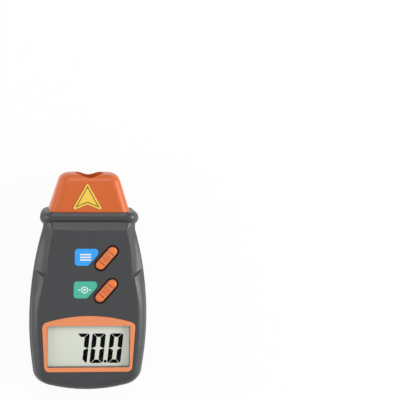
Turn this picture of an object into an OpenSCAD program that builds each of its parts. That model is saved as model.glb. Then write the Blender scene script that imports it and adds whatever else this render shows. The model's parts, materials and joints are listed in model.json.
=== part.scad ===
// Hand-held laser tachometer, lying on its back.
// +X is to the right of the display, +Y is toward the beam, +Z is out of the display.
// The origin is on the back face, under the middle of the length and of the width.

/* [Case] */
// Overall length, bottom end to nose tip
case_len = 131; // [129:0.5:135]
// Greatest width
case_w = 70; // [69:0.5:73]
// Thickness, back face to front panel
case_t = 28; // [28:0.25:30]
// Wall of the two shells
wall = 2.2; // [1.9:0.1:2.3]
// Height of the plane where the two shells meet
parting_z = 19.5; // [19:0.25:19.75]
// Distance of the widest section from the bottom end
widest_from_end = 44; // [42:1:46]
// Radius of the long side curves
side_r = 195; // [190:5:230]
// Radius of the curved bottom end
end_r = 90; // [85:1:120]
// Corner radius between the sides and the bottom end
end_corner_r = 5; // [4:0.25:6]
// Rounding of the front panel into the bottom end
front_edge_r = 6; // [5:0.25:6.25]
// How far the bottom end leans in from the back face to the parting plane
end_lean = 1.3; // [1:0.1:1.4]
// Rounding of the back face into the bottom end
back_edge_r = 5; // [4:0.25:5.5]
// Width of the rounded shoulder beside the front panel
shoulder_w = 6.5; // [6.25:0.25:6.75]
// Width of the rounding beside the back face
back_round_w = 7.8; // [7:0.2:8.4]

/* [Side flutes] */
// Length of each finger flute, from the notch to the top of the panel
flute_len = 29; // [26:1:31]
// How far the notch climbs toward the outside
notch_rise = 4.2; // [3:0.2:5]
// Width of the front panel between the flutes
flute_gap_w = 50.4; // [49:0.2:51]
// How much narrower the panel is at its top than at the notch, a side
flute_draw = 3.6; // [3:0.2:4]

/* [Collar] */
// Width of the collar bead
collar_w = 58.4; // [58:0.2:60]
// Radius of the bead at its sides
bead_side_r = 4.1; // [3.9:0.1:4.3]
// Radius of the bead at front and back
bead_front_r = 3.6; // [3.4:0.1:3.8]
// Drop from the front panel to the crest of the bead
bead_drop = 1; // [0.8:0.1:1.2]
// Height of the bead's crest over the back face
bead_back_z = 0.6; // [0.5:0.1:0.8]
// Distance from the top of the front panel to the top of the collar
panel_to_collar = 10.1; // [9.8:0.1:10.6]

/* [Nose] */
// Length of the nose that shows
nose_len = 22.2; // [21.6:0.2:23]
// Width of the nose at the collar
nose_base_w = 47.6; // [47:0.2:48]
// Width of the nose at its tip
nose_tip_w = 33.8; // [33.2:0.2:34.6]
// Thickness of the nose at the collar
nose_base_t = 23; // [22.8:0.1:23.2]
// Thickness of the nose at its tip
nose_tip_t = 17.6; // [17.6:0.1:18.4]
// Height of the nose's middle plane over the back face
nose_mid_z = 13.6; // [13.5:0.1:13.7]
// Rounding of the nose's long edges
nose_edge_r = 6; // [5.5:0.1:6.5]
// Rounding of the nose's tip
nose_tip_r = 4; // [3.6:0.1:4.4]
// Wall of the nose
nose_wall = 2; // [1.6:0.1:2.2]
// Diameter of the optical well
well_d = 17; // [16.2:0.1:17]
// Depth of the optical well
well_depth = 8.5; // [8:0.25:9]
// Length of the skirt that plugs into the collar
skirt_len = 4.8; // [4.2:0.2:5]

/* [Display] */
// Distance of the window frame's top corners from the sides of the case
frame_margin = 7.15; // [7:0.05:7.5]
// How much narrower the frame is at its bottom corners, a side
frame_taper = 1.75; // [1.5:0.05:2]
// Distance of the frame's bottom edge from the bottom end
frame_from_end = 13.2; // [13:0.1:13.6]
// Height of the frame's sides
frame_side_h = 29.4; // [29.2:0.1:29.8]
// Rise of the frame's arched top
frame_arch = 4.6; // [4.2:0.1:4.8]
// Width of the frame's border beside the clear window, at the top corners
frame_border = 3.15; // [3:0.05:3.3]
// Height of the clear window
window_h = 25.3; // [25:0.1:25.6]
// Height of the window's lower edge over the frame's lower edge
window_lift = 2.7; // [2.6:0.1:2.9]
// Thickness of the clear pane
pane_t = 0.8; // [0.6:0.05:0.9]
// Thickness of the display glass
lcd_t = 1.6; // [1.4:0.1:1.8]
// Height of a digit
digit_h = 18; // [17:0.1:18.4]
// Width of a digit
digit_w = 7.9; // [7.4:0.1:8.1]
// Distance from digit to digit
digit_pitch = 9.6; // [9.4:0.1:10]
// Extra distance where the dot stands
dot_room = 0.9; // [0.7:0.1:1.2]
// Width of a digit's upright strokes
stroke_w = 2.7; // [2.4:0.1:3.1]
// Width of a digit's level strokes
bar_w = 2.1; // [1.9:0.1:2.6]

/* [Keys] */
// Length of a key
key_len = 16.2; // [15.6:0.1:16.6]
// Width of a key
key_w = 5.5; // [5.2:0.1:5.7]
// Height of a key over the front panel
key_proud = 1; // [0.8:0.1:1.2]
// Angle of the keys over the X axis
key_angle = 49.3; // [47:0.5:52]
// Travel of a key
key_travel = 0.5; // [0.3:0.05:0.6]
// Place of the keys to the right of the middle
key_x = 9.9; // [9.7:0.1:10.1]
// Place of the upper key, as a share of the space from the frame up to the top of the panel
upper_key_share = 0.676; // [0.66:0.002:0.69]
// Place of the lower key in the same space
lower_key_share = 0.295; // [0.28:0.002:0.31]
// Width of a key label
label_w = 13.8; // [13.4:0.1:14]
// Height of a key label
label_h = 10.2; // [9.8:0.1:10.4]

/* [Battery] */
// Width of the battery
battery_w = 26.5; // [26:0.1:26.6]
// Length of the battery's case
battery_len = 48.5; // [48:0.1:48.8]
// Thickness of the battery
battery_t = 17.5; // [17.2:0.1:17.6]
// Width of the battery door
door_w = 32; // [31.6:0.2:32.4]
// Length of the battery door
door_len = 60; // [59.5:0.25:61]
// Thickness of the battery door
door_t = 1.8; // [1.6:0.1:1.9]

/* [Board] */
// Thickness of the main board
board_t = 1.6; // [1.5:0.05:1.7]
// How much wider the board is than the clear window, a side
board_overhang = 0.8; // [0.4:0.1:0.9]
// Clearance between the board's neck and the upper screw bosses
board_neck_gap = 0.8; // [0.7:0.05:1]
// Side of a key switch
switch_w = 6; // [5.6:0.1:6.2]
// Height of a key switch's body
switch_h = 1.6; // [1.5:0.1:1.7]

/* [Optics] */
// Diameter of the receiver tube
receiver_d = 10.8; // [10.6:0.1:11]
// Diameter of the laser barrel
barrel_d = 6; // [5.8:0.1:6.1]
// Length of the two tubes
tube_len = 14.2; // [13.8:0.1:14.4]
// Wall of the receiver tube
tube_wall = 0.8; // [0.7:0.05:0.9]
// Bore of the laser barrel
barrel_bore = 4.2; // [4.1:0.1:4.4]

/* [Screws] */
// Diameter of a case screw's head
screw_head_d = 4.4; // [4.2:0.1:4.5]
// Diameter of a case screw's shank
screw_d = 2.5; // [2.3:0.1:2.6]
// Diameter of a screw boss
boss_d = 6.2; // [6:0.1:6.4]
// Diameter of a board screw's head
small_head_d = 3.8; // [3.6:0.1:4]
// Diameter of a board screw's shank
small_screw_d = 1.8; // [1.7:0.1:1.9]

/* [Fits] */
// Clearance of a fitted piece, a side
fit = 0.15; // [0.1:0.01:0.18]
// Gap round the battery door
running_gap = 0.3; // [0.25:0.01:0.35]
// Height of a glued label's bond line
bond = 0.02; // [0.01:0.01:0.04]

/* [Hidden] */

// Overrun of every cut past the face that it opens
over = 0.5;

// Main places along the length
end_y = -case_len / 2;
tip_y = case_len / 2;
collar_y = tip_y - nose_len;
panel_top_y = collar_y - panel_to_collar;
notch_y = panel_top_y - flute_len;
widest_y = end_y + widest_from_end;

// Colours
dark_plastic = "#4b4c4e";
orange_plastic = "#e8743f";
board_green = "#1f6b3d";
metal_grey = "#b9bcc0";
brass_yellow = "#c9a24a";

// Common shapes
function lerp(a, b, t) = a + (b - a) * t;
function ease(t) = t <= 0 ? 0 : t >= 1 ? 1 : t * t * (3 - 2 * t);
function reversed(list) = [for (i = [len(list) - 1:-1:0]) list[i]];
function unit_vec(v) = v / norm(v);

// Outline with each corner rounded: corners is a list of [x, y, radius], in order round the outline
corner_steps = 6;
function rounded_outline(corners) = [
  for (i = [0:len(corners) - 1])
    let (n = len(corners),
         c = [corners[i][0], corners[i][1]],
         a = [corners[(i + n - 1) % n][0], corners[(i + n - 1) % n][1]],
         b = [corners[(i + 1) % n][0], corners[(i + 1) % n][1]],
         r = corners[i][2],
         u = unit_vec(a - c), v = unit_vec(b - c),
         half = acos(u * v) / 2,
         reach = r / tan(half),
         centre = c + unit_vec(u + v) * r / sin(half),
         from = c + u * reach - centre, to = c + v * reach - centre,
         start = atan2(from.y, from.x),
         turn = (atan2(to.y, to.x) - start + 540) % 360 - 180)
    for (k = [0:r > 0 ? corner_steps : 0])
      r > 0 ? centre + r * [cos(start + turn * k / corner_steps), sin(start + turn * k / corner_steps)] : c
];

// Point at share t of a circular arc from a to b, which bulges by a share of its chord
function arc_point(a, b, bulge_share, t) =
  let (d = b - a, chord = norm(d), rise = bulge_share * chord,
       r = (chord * chord / 4 + rise * rise) / (2 * rise),
       reach = 2 * atan(2 * rise / chord), turn = reach * (2 * t - 1))
  a + d / chord * (r * sin(turn) + chord / 2)
    + [-d.y, d.x] / chord * r * (cos(turn) - cos(reach));

// Case surface
// The shells are made of rows of points across the case. A row has its own place at the panel and
// at the side, so it can slant down the notch and round the collar.
side_draft = 0.7;
edge_h = 1.5;
groove_h = 0.5;
groove_in = 0.5;
notch_len = 0.6;
notch_reach = 16;
end_row_count = 4;
body_row_count = 9;
flute_row_count = 7;
bevel_row_count = 3;
bead_row_count = 7;
corner_start = 22;
rim_start = 4;
rim_turn = 12;
bow_full_share = 0.06;
bow_end_share = 0.3;
side_share = 0.92;
round_share = 0.19;
facet_share = 0.03;
flute_share = -0.09;
back_round_share = 0.2;
bead_round_share = 0.2;
groove_angle = -58;
bead_front_angle = 42;
bead_side_angle = 65;
bead_flat_in = 8.2;
flute_draw_power = 2.5;
bead_front_y = collar_y - bead_front_r * sin(bead_front_angle);
bead_side_y = collar_y - bead_side_r * sin(bead_side_angle);
groove_front_y = bead_front_y + bead_front_r * sin(groove_angle);
groove_side_y = bead_side_y + bead_side_r * sin(groove_angle);
bevel_side_drop = 0.4;
front_h = case_t - parting_z;
neck_half = collar_w / 2 - bead_side_r * (1 - cos(groove_angle));

// Half width of the case at a place along the length
function side_half(y) = case_w / 2 - side_r + sqrt(side_r * side_r - pow(y - widest_y, 2));
// How far a row bows toward the nose at a distance x from the middle, near the bottom end
function bow_share(y) =
  1 - ease((y - end_y - bow_full_share * case_len) / ((bow_end_share - bow_full_share) * case_len));
function bow(y, x) = bow_share(y) * x * x / (2 * end_r);
function row_half(y) = side_half(y + bow(y, side_share * case_w / 2));
// Width of the front panel's flat at a place above the notch
function flute_flat(y) =
  flute_gap_w / 2 - flute_draw * pow(max(0, (y - notch_y) / flute_len), flute_draw_power);

// Opening of the collar, which the nose's skirt plugs into
skirt_in = 0.9;
skirt_corner_r = 4;
opening_half = nose_base_w / 2 - skirt_in + fit;
opening_front_z = nose_mid_z + nose_base_t / 2 - skirt_in + fit;
opening_back_z = nose_mid_z - nose_base_t / 2 + skirt_in - fit;

// Places of the body rows: [y at the panel, y at the side]
body_rows = [for (k = [0:body_row_count])
  let (y = lerp(end_y + 1.6 * end_corner_r, notch_y, k / body_row_count))
  [y, y + notch_rise * ease(1 - (notch_y - y) / notch_reach)]];
flute_rows = [for (k = [0:flute_row_count])
  let (t = k / flute_row_count)
  [lerp(notch_y + notch_len, panel_top_y, t),
   lerp(notch_y + notch_len + notch_rise, panel_top_y - bevel_side_drop, t)]];
bevel_rows = [for (k = [1:bevel_row_count - 1])
  let (t = k / bevel_row_count)
  [lerp(panel_top_y, groove_front_y, t), lerp(panel_top_y - bevel_side_drop, groove_side_y, t)]];
bead_rows = [for (k = [0:bead_row_count])
  let (t = k / bead_row_count)
  [lerp(groove_angle, bead_front_angle, t), lerp(groove_angle, bead_side_angle, t)]];

// A row's section: [y at the panel, y at the side, half width, flat half width, edge half width,
// edge height, panel height, shoulder bulge share]. Heights are from the parting plane.
bevel_fall = bead_drop + bead_front_r * (1 - cos(groove_angle));
bead_back_rise = bead_back_z + bead_front_r * (1 - cos(groove_angle));
inner_flat_share = 0.4;

function front_body(y, ys, inset) =
  let (w = row_half(ys), t = ease((notch_y - y) / notch_reach))
  [y, ys, w - inset, w - shoulder_w - inner_flat_share * inset, w - side_draft - inset,
   edge_h, front_h - inset, inset > 0 ? round_share : lerp(facet_share, round_share, t)];
function front_flute(y, ys, inset) =
  let (w = row_half(ys), t = ease((y - lerp(notch_y, panel_top_y, 0.7)) / (0.3 * flute_len)))
  [y, ys, w - inset, flute_flat(y) - inner_flat_share * inset, w - side_draft - inset,
   edge_h, front_h - inset, inset > 0 ? facet_share : lerp(flute_share, facet_share, t)];
function front_bevel(y, ys, inset) =
  let (t = (y - panel_top_y) / (groove_front_y - panel_top_y),
       w = lerp(row_half(panel_top_y - bevel_side_drop), neck_half, ease(t)),
       flat_w = lerp(flute_gap_w / 2 - flute_draw, collar_w / 2 - bead_flat_in, t))
  [y, ys, lerp(w - inset, inset > 0 ? opening_half : w, t),
   lerp(flat_w - inner_flat_share * inset, inset > 0 ? opening_half - skirt_corner_r : flat_w, t),
   lerp(w - side_draft - inset, inset > 0 ? opening_half : w - side_draft, t),
   edge_h, lerp(front_h - inset, inset > 0 ? opening_front_z - parting_z : front_h - bevel_fall, t),
   lerp(facet_share, bead_round_share, t)];
function front_bead(af, as, inset) =
  let (y = bead_front_y + bead_front_r * sin(af), ys = bead_side_y + bead_side_r * sin(as),
       w = collar_w / 2 - bead_side_r * (1 - cos(as)),
       h = front_h - bead_drop - bead_front_r * (1 - cos(af)))
  inset > 0
    ? [y, ys, opening_half, opening_half - skirt_corner_r, opening_half,
       opening_front_z - parting_z - skirt_corner_r, opening_front_z - parting_z, back_round_share]
    : [y, ys, w, collar_w / 2 - bead_flat_in, w - side_draft, edge_h, h, bead_round_share];

function rear_body(y, ys, inset) =
  let (w = row_half(ys))
  [y, ys, w - inset, w - back_round_w - inner_flat_share * inset, w - side_draft - inset,
   parting_z - back_round_w, parting_z - inset, back_round_share];
function rear_bevel(y, ys, inset) =
  let (t = (y - panel_top_y) / (groove_front_y - panel_top_y),
       w = lerp(row_half(panel_top_y - bevel_side_drop), neck_half, ease(t)),
       flat_w = lerp(w - back_round_w, collar_w / 2 - bead_flat_in, t))
  [y, ys, lerp(w - inset, inset > 0 ? opening_half : w, t),
   lerp(flat_w - inner_flat_share * inset, inset > 0 ? opening_half - skirt_corner_r : flat_w, t),
   lerp(w - side_draft - inset, inset > 0 ? opening_half : w - side_draft, t),
   parting_z - back_round_w - (inset > 0 ? 0 : bead_back_rise * t),
   lerp(parting_z - inset, inset > 0 ? parting_z - opening_back_z : parting_z - bead_back_rise, t),
   back_round_share];
function rear_bead(af, as, inset) =
  let (y = bead_front_y + bead_front_r * sin(af), ys = bead_side_y + bead_side_r * sin(as),
       w = collar_w / 2 - bead_side_r * (1 - cos(as)),
       h = parting_z - bead_back_z - bead_front_r * (1 - cos(af)))
  inset > 0
    ? [y, ys, opening_half, opening_half - skirt_corner_r, opening_half,
       parting_z - opening_back_z - skirt_corner_r, parting_z - opening_back_z, back_round_share]
    : [y, ys, w, collar_w / 2 - bead_flat_in, w - side_draft, h - back_round_w, h, bead_round_share];

// Section of a row at the bottom end, where the panel and the sides round into the end
function case_body(front, y, ys, inset) = front ? front_body(y, ys, inset) : rear_body(y, ys, inset);
function end_section(front, k, inset) =
  let (t = k / end_row_count, b = 90 * t, a = lerp(corner_start, 90, t),
       r = end_corner_r - inset,
       re = max((front ? front_edge_r : back_edge_r) - inset, inset / 3),
       w_in = r * (1 - sin(a)), h_in = re * (1 - sin(b)),
       y = end_y + (front ? end_lean : 0) + inset + re * (1 - cos(b)),
       ys = end_y + end_lean + inset + r * (1 - cos(a)),
       s = case_body(front, y, ys, inset))
  [y, ys, s[2] - w_in, s[3] - w_in, s[4] - w_in, min(s[5], 0.8 * (s[6] - h_in)), s[6] - h_in, s[7]];

// Half of a row's points: [x, height, 0 at the panel to 1 at the side]
function half_section(s, flats, arcs, groove) = concat(
  [for (j = [1:flats]) [s[3] * j / flats, s[6], 0]],
  [for (j = [1:arcs]) let (q = arc_point([s[3], s[6]], [s[4], s[5]], s[7], j / arcs)) [q.x, q.y, j / arcs]],
  [[lerp(s[4], s[2], 0.6), lerp(s[5], groove_h, 0.6), 1], [s[2], groove_h, 1], [s[2] - groove, 0, 1]]);
function both_sides(half, middle) = concat(
  reversed([for (p = half) [-p.x, p.y, p.z]]), [middle], half);
function row_points(s, side, flats, arcs, groove) = [
  for (p = both_sides(half_section(s, flats, arcs, groove), [0, s[6], 0]))
    let (y = lerp(s[0], s[1], p.z))
    [p.x, y + bow(y, p.x), parting_z + side * p.y]];

// The two rows that close the bottom end down to the parting plane
side_points = 3;
flat_points = 4;
front_arc_points = 6;
rear_arc_points = 5;
function rim_x(j, flats, count, flat_w, end_w) =
  j <= flats ? side_share * flat_w * j / flats
             : lerp(side_share * flat_w, end_w, (j - flats) / (count - flats));
function rim_points(front, inset, flats, arcs, groove) =
  let (count = flats + arcs + side_points, r = end_corner_r - inset, y0 = end_y + end_lean + inset,
       side = front ? 1 : -1, first = case_body(front, y0, y0, inset),
       corner = first[2] - r, flat_w = first[3] - r * (1 - sin(corner_start)))
  [[for (j = [-count:count])
      let (x = sign(j) * rim_x(abs(j), flats, count, flat_w, corner + (r - groove) * sin(rim_start)))
      [x, y0 + groove + bow(y0, x), parting_z]],
   [for (j = [-count:count])
      let (rim = abs(j) == count,
           x = rim ? sign(j) * (corner + (r - groove) * sin(rim_turn))
                   : sign(j) * rim_x(abs(j), flats, count, flat_w, corner + r * sin(rim_turn / 2)))
      [x, y0 + (rim ? r - (r - groove) * cos(rim_turn) : 0) + bow(y0, x),
       parting_z + (rim ? 0 : side * groove_h)]]];

function shell_grid(front, inset, flats, arcs, groove) =
  let (sections = concat(
         [for (k = [0:end_row_count]) end_section(front, k, inset)],
         [for (q = body_rows) case_body(front, q[0], q[1], inset)],
         [for (q = flute_rows) front ? front_flute(q[0], q[1], inset) : rear_body(q[0], q[1], inset)],
         [for (q = bevel_rows) front ? front_bevel(q[0], q[1], inset) : rear_bevel(q[0], q[1], inset)],
         [for (q = bead_rows) front ? front_bead(q[0], q[1], inset) : rear_bead(q[0], q[1], inset)]))
  concat(rim_points(front, inset, flats, arcs, groove),
         [for (s = sections) row_points(s, front ? 1 : -1, flats, arcs, groove)]);

// Closed solid between an outer and an inner grid of points that have the same rows and columns
module grid_wall(outer, inner, turned) {
  rows = len(outer);
  cols = len(outer[0]);
  far = rows * cols;
  faces = concat(
    [for (i = [0:rows - 2], j = [0:cols - 2], f = [0:3])
      let (a = i * cols + j, b = a + 1, d = a + cols, c = d + 1)
      f == 0 ? [a, d, c] : f == 1 ? [a, c, b]
             : f == 2 ? [far + a, far + c, far + d] : [far + a, far + b, far + c]],
    [for (j = [0:cols - 2], f = [0:3])
      let (a = j, b = j + 1, d = (rows - 1) * cols + j, c = d + 1)
      f == 0 ? [a, b, far + b] : f == 1 ? [a, far + b, far + a]
             : f == 2 ? [c, d, far + d] : [c, far + d, far + c]],
    [for (i = [0:rows - 2], f = [0:3])
      let (a = i * cols, d = a + cols, b = a + cols - 1, c = d + cols - 1)
      f == 0 ? [d, a, far + a] : f == 1 ? [d, far + a, far + d]
             : f == 2 ? [b, c, far + c] : [b, far + c, far + b]]);
  polyhedron(points = [for (grid = [outer, inner], row = grid, p = row) p],
             faces = turned ? [for (f = faces) [f[2], f[1], f[0]]] : faces);
}

module cylinder_at(x, y, z, d, h) translate([x, y, z]) cylinder(d = d, h = h, $fn = 48);
// Round lead on a smooth curve, which leaves its start along one direction and meets its end along
// another
lead_sides = 8;
lead_rings = 10;
function curve_point(a, b, c, d, t) =
  pow(1 - t, 3) * a + 3 * pow(1 - t, 2) * t * b + 3 * (1 - t) * t * t * c + pow(t, 3) * d;
module lead(start, start_pull, end, end_pull, d) {
  route = [for (i = [0:lead_rings])
    curve_point(start, start + start_pull, end - end_pull, end, i / lead_rings)];
  run = [for (i = [0:lead_rings])
    i == 0 ? unit_vec(start_pull) : i == lead_rings ? unit_vec(end_pull)
           : unit_vec(route[i + 1] - route[i - 1])];
  points = [for (i = [0:lead_rings], k = [0:lead_sides - 1])
    let (u = unit_vec(cross(run[i], [1, 0, 0])), v = cross(run[i], u), turn = 360 * k / lead_sides)
    route[i] + d / 2 * (u * cos(turn) + v * sin(turn))];
  polyhedron(points = points, faces = concat(
    [for (i = [0:lead_rings - 1], k = [0:lead_sides - 1], f = [0, 1])
      let (a = i * lead_sides + k, b = i * lead_sides + (k + 1) % lead_sides,
           c = b + lead_sides, e = a + lead_sides)
      f == 0 ? [a, c, b] : [a, e, c]],
    [[for (k = [0:lead_sides - 1]) k], [for (k = [lead_sides - 1:-1:0]) lead_rings * lead_sides + k]]));
}
// Bar with round ends along X, made from half of its cross-section: a list of [distance out, height]
module pill(half, straight) {
  for (end = [0, 180]) rotate([0, 0, end]) translate([straight / 2, 0, 0])
    rotate([0, 0, -90]) rotate_extrude(angle = 180, $fn = 48) polygon(half);
  rotate([90, 0, 90]) translate([0, 0, -straight / 2]) linear_extrude(straight)
    polygon(concat(half, reversed([for (p = half) if (p.x > 0) [-p.x, p.y]])));
}
module along_y(x, y, z) translate([x, y, z]) rotate([-90, 0, 0]) children();

// Depth stack, from the front panel down
ledge_t = 1;
lcd_gap = 0.4;
board_drop = 3.8;
inner_z = case_t - wall;
recess_z = inner_z + ledge_t;
lcd_top_z = inner_z - lcd_gap;
lcd_z = lcd_top_z - lcd_t;
board_top_z = inner_z - board_drop;
board_z = board_top_z - board_t;

// Display places
frame_gap = 0.2;
frame_proud = 0.15;
frame_corner_r = 3;
frame_top_r = 3.4;
arch_steps = 12;
arch_share = 0.86;
window_r = 1.2;
pane_overlap = 0.9;
lcd_margin = 0.7;
frame_top_w = case_w - 2 * frame_margin;
frame_bottom_w = frame_top_w - 2 * frame_taper;
window_w = frame_top_w - 2 * frame_border;
frame_y = end_y + frame_from_end;
frame_top_y = frame_y + frame_side_h + frame_arch;
window_y = frame_y + window_lift;
window_mid_y = window_y + window_h / 2;
function arch_y(x) = frame_y + frame_side_h + frame_arch * (1 - pow(2 * x / frame_top_w, 2));
function frame_outline(gap) = rounded_outline(concat(
  [[-frame_bottom_w / 2 - gap, frame_y - gap, frame_corner_r],
   [frame_bottom_w / 2 + gap, frame_y - gap, frame_corner_r],
   [frame_top_w / 2 + gap, arch_y(frame_top_w / 2) + gap, frame_top_r]],
  [for (k = [0:arch_steps])
    let (x = lerp(1, -1, k / arch_steps) * arch_share * frame_top_w / 2) [x, arch_y(x) + gap, 0]],
  [[-frame_top_w / 2 - gap, arch_y(frame_top_w / 2) + gap, frame_top_r]]));
function box_outline(w, h, y_mid, r) = rounded_outline(
  [for (c = [[-1, -1], [1, -1], [1, 1], [-1, 1]]) [c.x * w / 2, y_mid + c.y * h / 2, r]]);
module window_block(grow, z, h, r)
  translate([0, 0, z]) linear_extrude(h)
    polygon(box_outline(window_w + 2 * grow, window_h + 2 * grow, window_mid_y, r));

// Key places
key_round = 1.3;
key_flange = 0.8;
key_flange_t = 0.8;
key_float = 0.3;
key_gap = 0.6;
key_rim = 0.3;
key_round_steps = 5;
key_groove_w = 0.7;
key_groove_depth = 0.6;
key_rib_w = 0.5;
key_rib_depth = 0.3;
key_rib_pitch = 1.1;
key_rib_count = 4;
key_groove_share = 0.26;
key_straight = key_len - key_w;
key_top_z = case_t + key_proud;
flange_z = inner_z - key_float - key_flange_t;
upper_key_y = lerp(frame_top_y, panel_top_y, upper_key_share);
lower_key_y = lerp(frame_top_y, panel_top_y, lower_key_share);
module at_key(y) translate([key_x, y, 0]) rotate([0, 0, key_angle]) children();
function key_profile() = concat(
  [[0, flange_z], [key_w / 2 + key_flange, flange_z], [key_w / 2 + key_flange, flange_z + key_flange_t],
   [key_w / 2, flange_z + key_flange_t]],
  [for (k = [0:key_round_steps]) let (a = 90 * k / key_round_steps)
    [key_w / 2 - key_round * (1 - cos(a)), key_top_z - key_round * (1 - sin(a))]],
  [[0, key_top_z]]);
module key_hole(y) at_key(y) {
  r = key_w / 2 + key_gap;
  pill([[0, inner_z - over], [r, inner_z - over], [r, case_t - key_rim],
        [r + key_rim + over, case_t + over], [0, case_t + over]], key_straight);
}
module key(y) color(orange_plastic) at_key(y) difference() {
  pill(key_profile(), key_straight);
  for (side = [-1, 1])
    translate([side * (key_len / 2 - key_groove_share * key_len) - key_groove_w / 2,
               -key_w, key_top_z - key_groove_depth])
      cube([key_groove_w, 2 * key_w, key_groove_depth + over]);
  for (k = [0:key_rib_count - 1])
    translate([(k - (key_rib_count - 1) / 2) * key_rib_pitch - key_rib_w / 2,
               -key_w, key_top_z - key_rib_depth])
      cube([key_rib_w, 2 * key_w, key_rib_depth + over]);
}

// Key switch places
plunger_d = 3;
plunger_seat = 0.2;
plunger_bottom_z = board_top_z + plunger_seat + fit + key_travel;
module plunger(y) color("white")
  cylinder_at(key_x, y, plunger_bottom_z, plunger_d, flange_z - plunger_bottom_z);
module switch_body(y) color("#26272a") difference() {
  translate([key_x - switch_w / 2, y - switch_w / 2, board_top_z]) cube([switch_w, switch_w, switch_h]);
  cylinder_at(key_x, y, board_top_z + plunger_seat, plunger_d + 2 * fit, switch_h + over);
}

// Key labels
label_t = 0.25;
label_sink = 0.2;
label_gap = 0.1;
label_r = 1.9;
label_slant_share = 0.66;
label_right = 11.9;
label_rise = 0.6;
lower_label_shift = 0.4;
function label_outline(gap) =
  let (w = label_w / 2 + gap, h = label_h / 2 + gap, drop = label_slant_share * 2 * h)
  rounded_outline([[-w, h, label_r], [-w, -h, label_r], [w - drop / tan(key_angle), -h, label_r],
                   [w, drop - h, label_r], [w, h, label_r]]);
module at_label(y, shift) translate([key_x - label_right - shift, y + label_rise, 0]) children();
module label_pocket(y, shift) at_label(y, shift) translate([0, 0, case_t - label_sink])
  linear_extrude(label_sink + over) polygon(label_outline(label_gap));
module label_plate(y, shift) at_label(y, shift) translate([0, 0, case_t - label_sink + bond])
  linear_extrude(label_t) polygon(label_outline(0));

// Screw places
case_boss_from_side = 13;
case_boss_x = case_w / 2 - case_boss_from_side;
case_boss_from_end = 9.4;
top_boss_from_side = 16;
top_boss_x = case_w / 2 - top_boss_from_side;
top_boss_below = 7.2;
boss_sink = 0.2;
case_bosses = [for (s = [-1, 1]) each [[s * case_boss_x, end_y + case_boss_from_end],
                                       [s * top_boss_x, panel_top_y - top_boss_below]]];
case_screw_len = 14;
screw_head_h = 1.8;
counterbore_z = 9.8;
counterbore_fit = 0.2;
shank_fit = 0.05;
board_boss_d = 4.4;
board_boss_from_edge = 4.1;
board_w = window_w + 2 * board_overhang;
board_neck_w = 2 * (top_boss_x - boss_d / 2 - board_neck_gap);
board_boss_x = board_w / 2 - board_boss_from_edge;
board_boss_drop = 2.5;
board_screw_len = 3.6;
small_head_h = 1.2;
board_boss_in = 3.1;
board_shoulder_over = 12.3;
board_below_top = 1.7;
board_shoulder_y = window_y + window_h + board_shoulder_over;
board_top_y = panel_top_y - board_below_top;
board_bosses = [[-board_boss_x, board_shoulder_y - board_boss_in],
                [board_boss_x, board_shoulder_y - board_boss_in], [0, board_top_y - board_boss_drop]];

module front_shell() color(dark_plastic) difference() {
  union() {
    grid_wall(shell_grid(true, 0, flat_points, front_arc_points, groove_in),
              shell_grid(true, wall, flat_points, front_arc_points, 0), false);
    for (p = case_bosses) cylinder_at(p.x, p.y, parting_z, boss_d, inner_z + boss_sink - parting_z);
    for (p = board_bosses)
      cylinder_at(p.x, p.y, board_top_z, board_boss_d, inner_z + boss_sink - board_top_z);
  }
  translate([0, 0, recess_z]) linear_extrude(case_t - recess_z + over) polygon(frame_outline(frame_gap));
  window_block(0, inner_z - over, wall + over, window_r);
  key_hole(upper_key_y);
  key_hole(lower_key_y);
  label_pocket(upper_key_y, 0);
  label_pocket(lower_key_y, lower_label_shift);
  for (p = case_bosses)
    cylinder_at(p.x, p.y, parting_z - over, screw_d + 2 * shank_fit,
                counterbore_z + screw_head_h + case_screw_len - parting_z + over);
  for (p = board_bosses)
    cylinder_at(p.x, p.y, board_top_z - over, small_screw_d + 2 * shank_fit,
                board_screw_len - board_t + over);
}

// Battery places
door_gap_z = 0.25;
battery_from_end = 6.5;
battery_round = 2;
battery_side = 0.8;
rib_t = 1.2;
rib_top_z = 17;
stop_h = 7;
tongue_w = 1.2;
tongue_z = 0.9;
pad_w = 5;
pad_t = 1.3;
grip_count = 5;
grip_pitch = 1.9;
grip_w = 0.9;
grip_depth = 0.4;
grip_len = 16;
grip_from_edge = 4;
battery_y = end_y + battery_from_end;
battery_top_y = battery_y + battery_len;
battery_z = door_t + door_gap_z;
battery_mid_z = battery_z + battery_t / 2;
door_top_y = end_y + door_len;
module end_disc(inset, h) translate([0, end_y + end_r, 0]) rotate_extrude($fn = 360)
  polygon(concat([[0, 0], [end_r - inset - back_edge_r, 0]],
    [for (k = [0:6]) let (a = 90 * k / 6)
      [end_r - inset - back_edge_r * (1 - sin(a)), back_edge_r * (1 - cos(a))]],
    [[end_r - inset, h], [0, h]]));

// Rear label
rear_label_w = 34;
rear_label_share = 0.57;
rear_label_t = 0.2;
rear_label_sink = 0.35;
rear_label_r = 2;
rear_label_y = lerp(door_top_y, panel_top_y, 0.5);
rear_label_h = rear_label_share * (panel_top_y - door_top_y);
module rear_label_plate(gap, h) linear_extrude(h)
  polygon(box_outline(rear_label_w + 2 * gap, rear_label_h + 2 * gap, rear_label_y, rear_label_r + gap));

// Bracket places
plate_z = 5.3;
plate_t = 1.5;
plate_w = 30;
post_d = 4.6;
post_x = 12.5;
post_y = panel_top_y + 1.2;
plate_back = 2.4;
bracket_screw_len = 3.4;
optics_z = nose_mid_z;
optics_gap = 1;
receiver_x = -(optics_gap + barrel_d) / 2;
barrel_x = (optics_gap + receiver_d) / 2;
floor_t = 1.5;
tube_gap = 0.2;
well_y = tip_y - well_depth;
tube_front_y = well_y - floor_t - tube_gap;
tube_back_y = tube_front_y - tube_len;
sensor_board_gap = 0.4;
sensor_board_y = tube_back_y - sensor_board_gap;

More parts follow.
